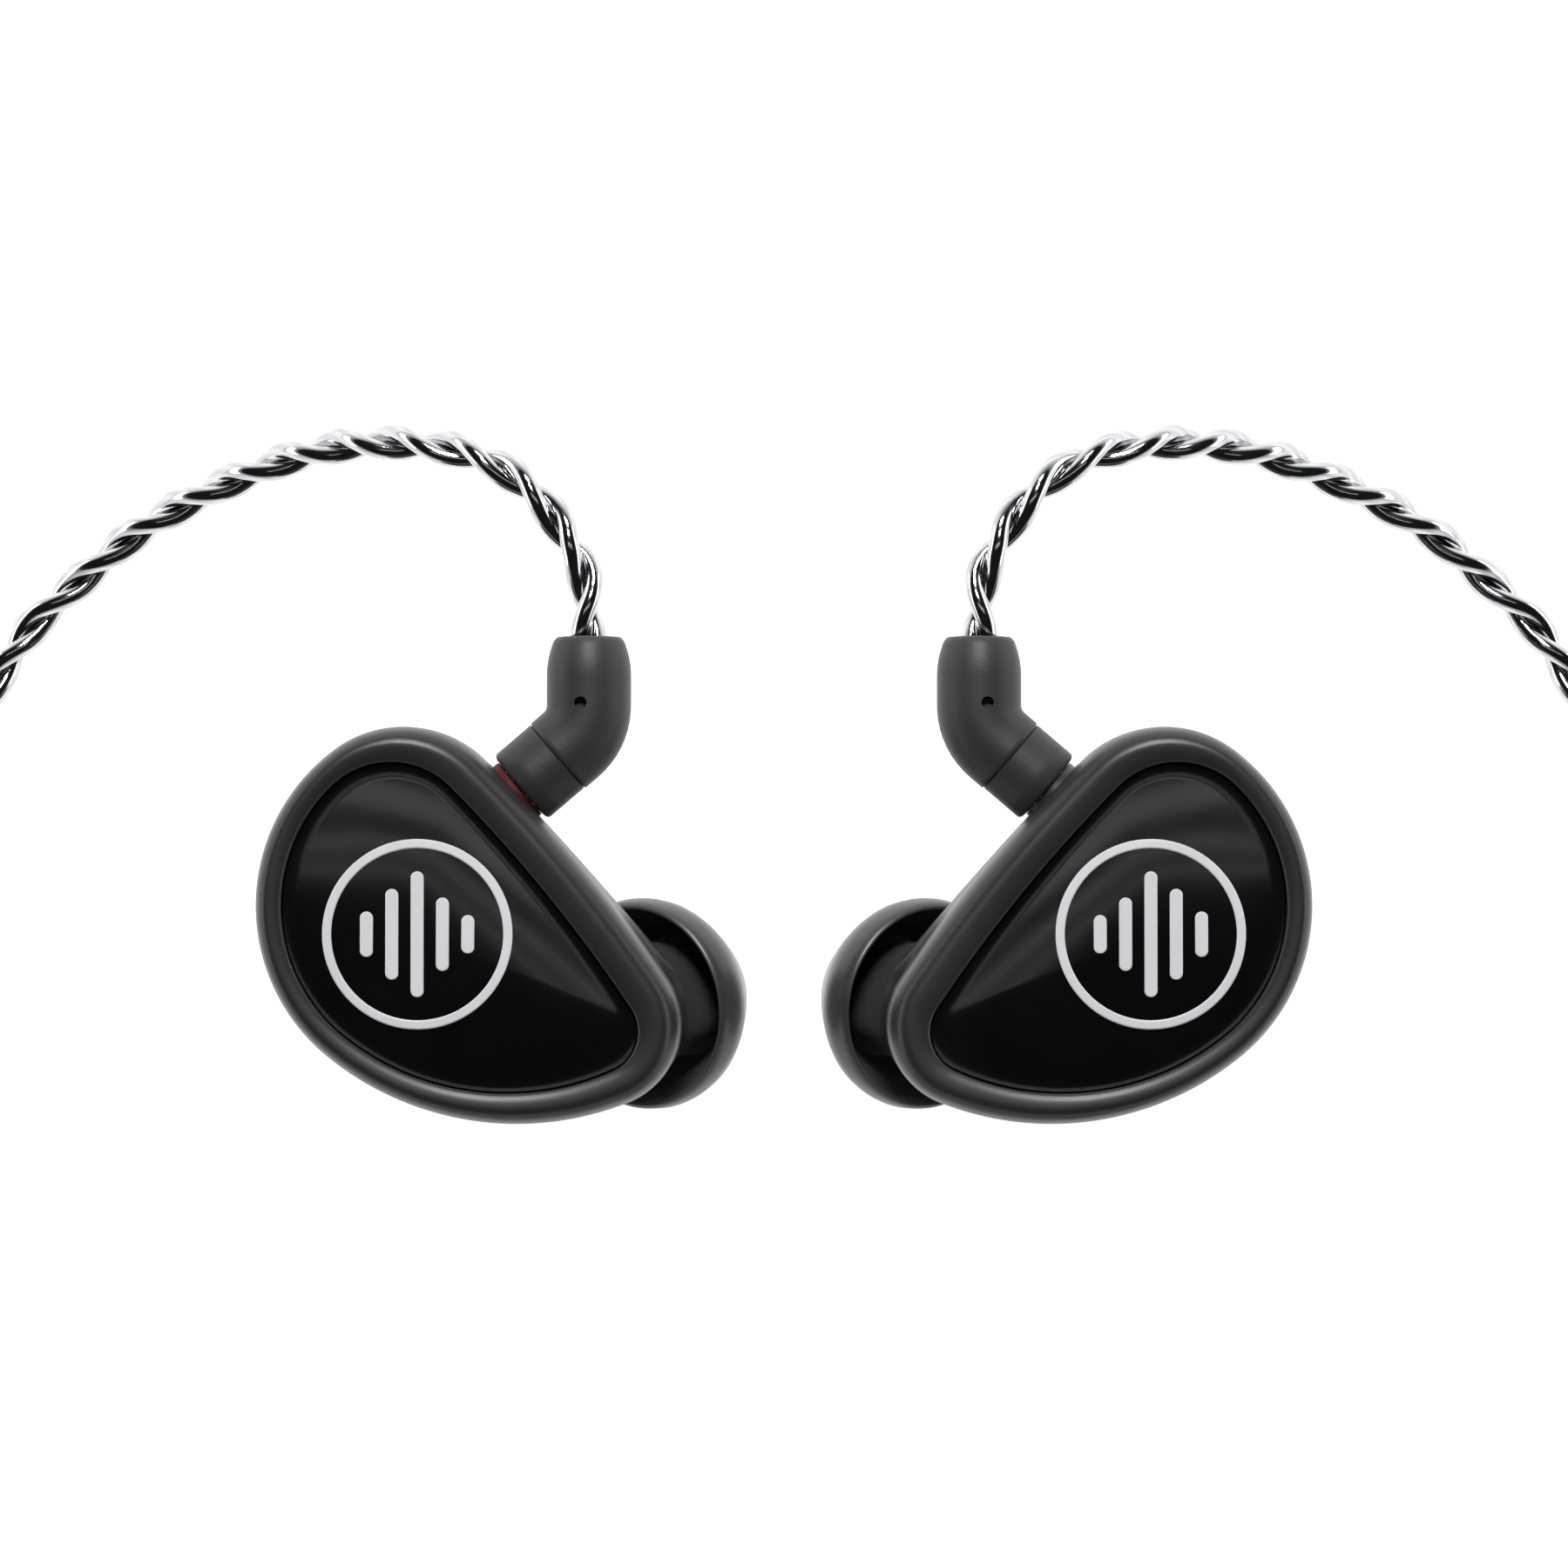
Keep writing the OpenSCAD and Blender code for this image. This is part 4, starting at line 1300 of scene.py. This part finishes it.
    def build(self, paints: Paints) -> None:
        """Args:
            paints: Every finish.
        """
        for side, points in ((Side.RIGHT, self.right_route()), (Side.LEFT, self.left_route())):
            route = [p * MM for p in points]
            path = catmull(route, self.lead_lay.spacing)
            obj = self.lead_lay.twist(f"{side.word}_twisted_lead", path, side.value)
            is_right = side is Side.RIGHT
            nodes = ["right_lead", "leads_hank"] if is_right else ["left_lead"]
            finish_piece(obj, paints.silver, "cable", "cable", *nodes)
            on_it = [FRAME["nodes"]["splitter"], FRAME["nodes"]["chin_slider"]] if is_right else []
            round(measured(path), 3)
        route = [p * MM for p in self.main_route()]
        path = catmull(route, self.main_lay.spacing)
        obj = self.main_lay.twist("main_twisted_cable", path, 1)
        finish_piece(obj, paints.silver, "cable", "cable", "main_lead", "main_hank")
        plug = [FRAME["nodes"][n] for n in ("plug_boot", "plug_barrel", "jack_contacts", "jack_insulators")]
        on_it = plug + [self.strap(paints)]
        round(measured(path), 3)


# ---------------------------------------------------------------- studio


@dataclass(frozen=True)
class Lamp:
    """Soft rectangular light aimed at the pair: place and size in metres, power in watts."""

    name: str
    at: tuple[float, float, float]
    size: tuple[float, float]
    power: float

    def hang(self, target: Vector) -> None:
        """Make the light.

        Args:
            target: Point that it faces.
        """
        data = bpy.data.lights.new(self.name, "AREA")
        data.shape = "RECTANGLE"
        data.size, data.size_y = self.size
        data.energy = self.power
        lamp = bpy.data.objects.new(self.name, data)
        lamp.location = self.at
        lamp.rotation_euler = (target - Vector(self.at)).to_track_quat("-Z", "Y").to_euler()
        bpy.context.collection.objects.link(lamp)


@dataclass
class Studio:
    """Floor, lights and the camera looking straight down."""

    height: float = 0.42
    lens: float = 160.4
    middle_y: float = 0.0055
    target: tuple[float, float, float] = (0, 0, 0.01)
    sky: tuple[tuple[float, float], ...] = ((0.0, 1.0), (0.24, 0.8), (0.5, 0.012))
    sky_strength: float = 1.1
    table_size: float = 6.0
    lamps: tuple[Lamp, ...] = (
        Lamp("key_back", (0.0, 0.72, 0.66), (0.3, 0.16), 5.0),
        Lamp("crown", (0.0, 0.5, 0.85), (0.2, 0.12), 7.0),
        Lamp("fill_left", (-0.8, 0.1, 0.2), (1.0, 0.2), 1.5),
        Lamp("fill_right", (0.8, 0.1, 0.2), (1.0, 0.2), 1.5),
        Lamp("strip_high", (0.0, 0.17, 1.1), (0.9, 0.05), 0.14),
        Lamp("strip_middle", (0.0, 0.09, 1.1), (0.9, 0.02), 0.06),
        Lamp("strip_low", (0.0, 0.05, 1.1), (0.9, 0.012), 0.04),
    )

    def camera(self) -> None:
        """Camera over the pair."""
        cam = bpy.data.objects.new("camera", bpy.data.cameras.new("camera"))
        cam.location = (0, self.middle_y, self.height)
        cam.data.lens = self.lens
        cam.data.sensor_width = 36
        cam.data.clip_start = 0.01
        bpy.context.collection.objects.link(cam)
        bpy.context.scene.camera = cam

    def world(self) -> None:
        """Bright horizon under a dark zenith."""
        g = Graph("studio", is_world=True)
        where = g.node("ShaderNodeTexCoord", out="Generated")
        height = g.node("ShaderNodeSeparateXYZ", {}, {0: where}, out="Z")
        stops = [(place, (grey, grey, grey)) for place, grey in self.sky]
        colour = g.node("ShaderNodeValToRGB", {"stops": stops}, {0: height})
        g.finish(g.node("ShaderNodeBackground", {}, {"Color": colour, "Strength": self.sky_strength}))
        bpy.context.scene.world = g.owner

    def floor(self) -> None:
        """Plain white table."""
        deselect()
        bpy.ops.mesh.primitive_plane_add(size=self.table_size)
        table = bpy.context.object
        table.name = "table"
        table.data.materials.append(Graph("table_white").surface({
            "Base Color": (0.4, 0.4, 0.4, 1), "Roughness": 0.9, "Emission Color": (1, 1, 1, 1),
            "Emission Strength": 0.95}))

    def build(self) -> None:
        """Floor, world and lights."""
        self.floor()
        self.world()
        for lamp in self.lamps:
            lamp.hang(Vector(self.target))
        view = bpy.context.scene.view_settings
        view.view_transform = "Standard"
        view.look = "None"


@dataclass
class Pair:
    """Both earpieces with their connectors."""

    paints: Paints
    ear: Earpiece
    elbow: Elbow

    def build(self) -> None:
        """Make the right pieces, copy them to the left and finish both."""
        p = self.paints
        jobs = [
            (self.ear.front(), p.shell, "earpiece", "shell", "front_shell"),
            (self.ear.rear(), p.shell, "earpiece", "shell", "rear_shell"),
            (self.ear.plate_piece(), p.plate, "earpiece", "faceplate", "faceplate"),
            (self.ear.emblem_piece(), p.emblem, "earpiece", "emblem", "emblem"),
            (self.ear.tip_piece(), p.silicone, "ear_tip", "silicone", "ear_tip"),
            (self.ear.nozzle_piece(), p.nozzle, "earpiece", "nozzle", "nozzle"),
            (self.elbow.body_piece(), p.connector, "", "connector", "elbow"),
            (self.elbow.collar_piece(), p.connector, "", "connector", "elbow_collar"),
        ]
        for right, paint, group, slot, node in jobs:
            left = mirrored(right, right.name.replace("right", "left"))
            for side, obj in ((Side.RIGHT, right), (Side.LEFT, left)):
                body = f"{side.word}_{group}" if group else "cable"
                finish_piece(obj, paint, body, slot, f"{side.word}_{node}")

    def dress(self) -> None:
        """Finish the CAD nodes that keep their own shape."""
        p = self.paints
        inside = {"nozzle_screen": p.screen, "socket_block": p.socket, "socket_contacts": p.gold,
                  "driver_frame": p.brass, "diaphragm": p.film, "voice_coil": p.copper,
                  "driver_magnet": p.steel, "driver_yoke": p.steel, "armature_driver": p.steel,
                  "sound_tube": p.tube, "damper": p.felt,
                  "crossover_board": p.board, "hookup_wires": p.enamel, "plug_pins": p.gold}
        for side in Side:
            for node, paint in inside.items():
                dress_node(f"{side.word}_{node}", paint)
        dress_node("right_socket_ring", p.red)
        dress_node("left_socket_ring", p.dark)
        for node in ("chin_slider", "splitter", "plug_boot", "plug_barrel"):
            dress_node(node, p.connector)
        dress_node("jack_contacts", p.gold)
        dress_node("jack_insulators", p.socket)


FRAME: dict = {}


def main() -> None:
    """Build the camera, the cords, the earpieces and the studio."""
    logging.basicConfig(level=logging.INFO, format="%(name)s: %(message)s")
    FRAME.update(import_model())
    studio = Studio()
    studio.camera()
    paints = Paints()
    ear = Earpiece()
    elbow = Elbow(ear)
    Cable(elbow).build(paints)
    pair = Pair(paints, ear, elbow)
    pair.build()
    pair.dress()
    studio.build()


if __name__ == "__main__":
    main()
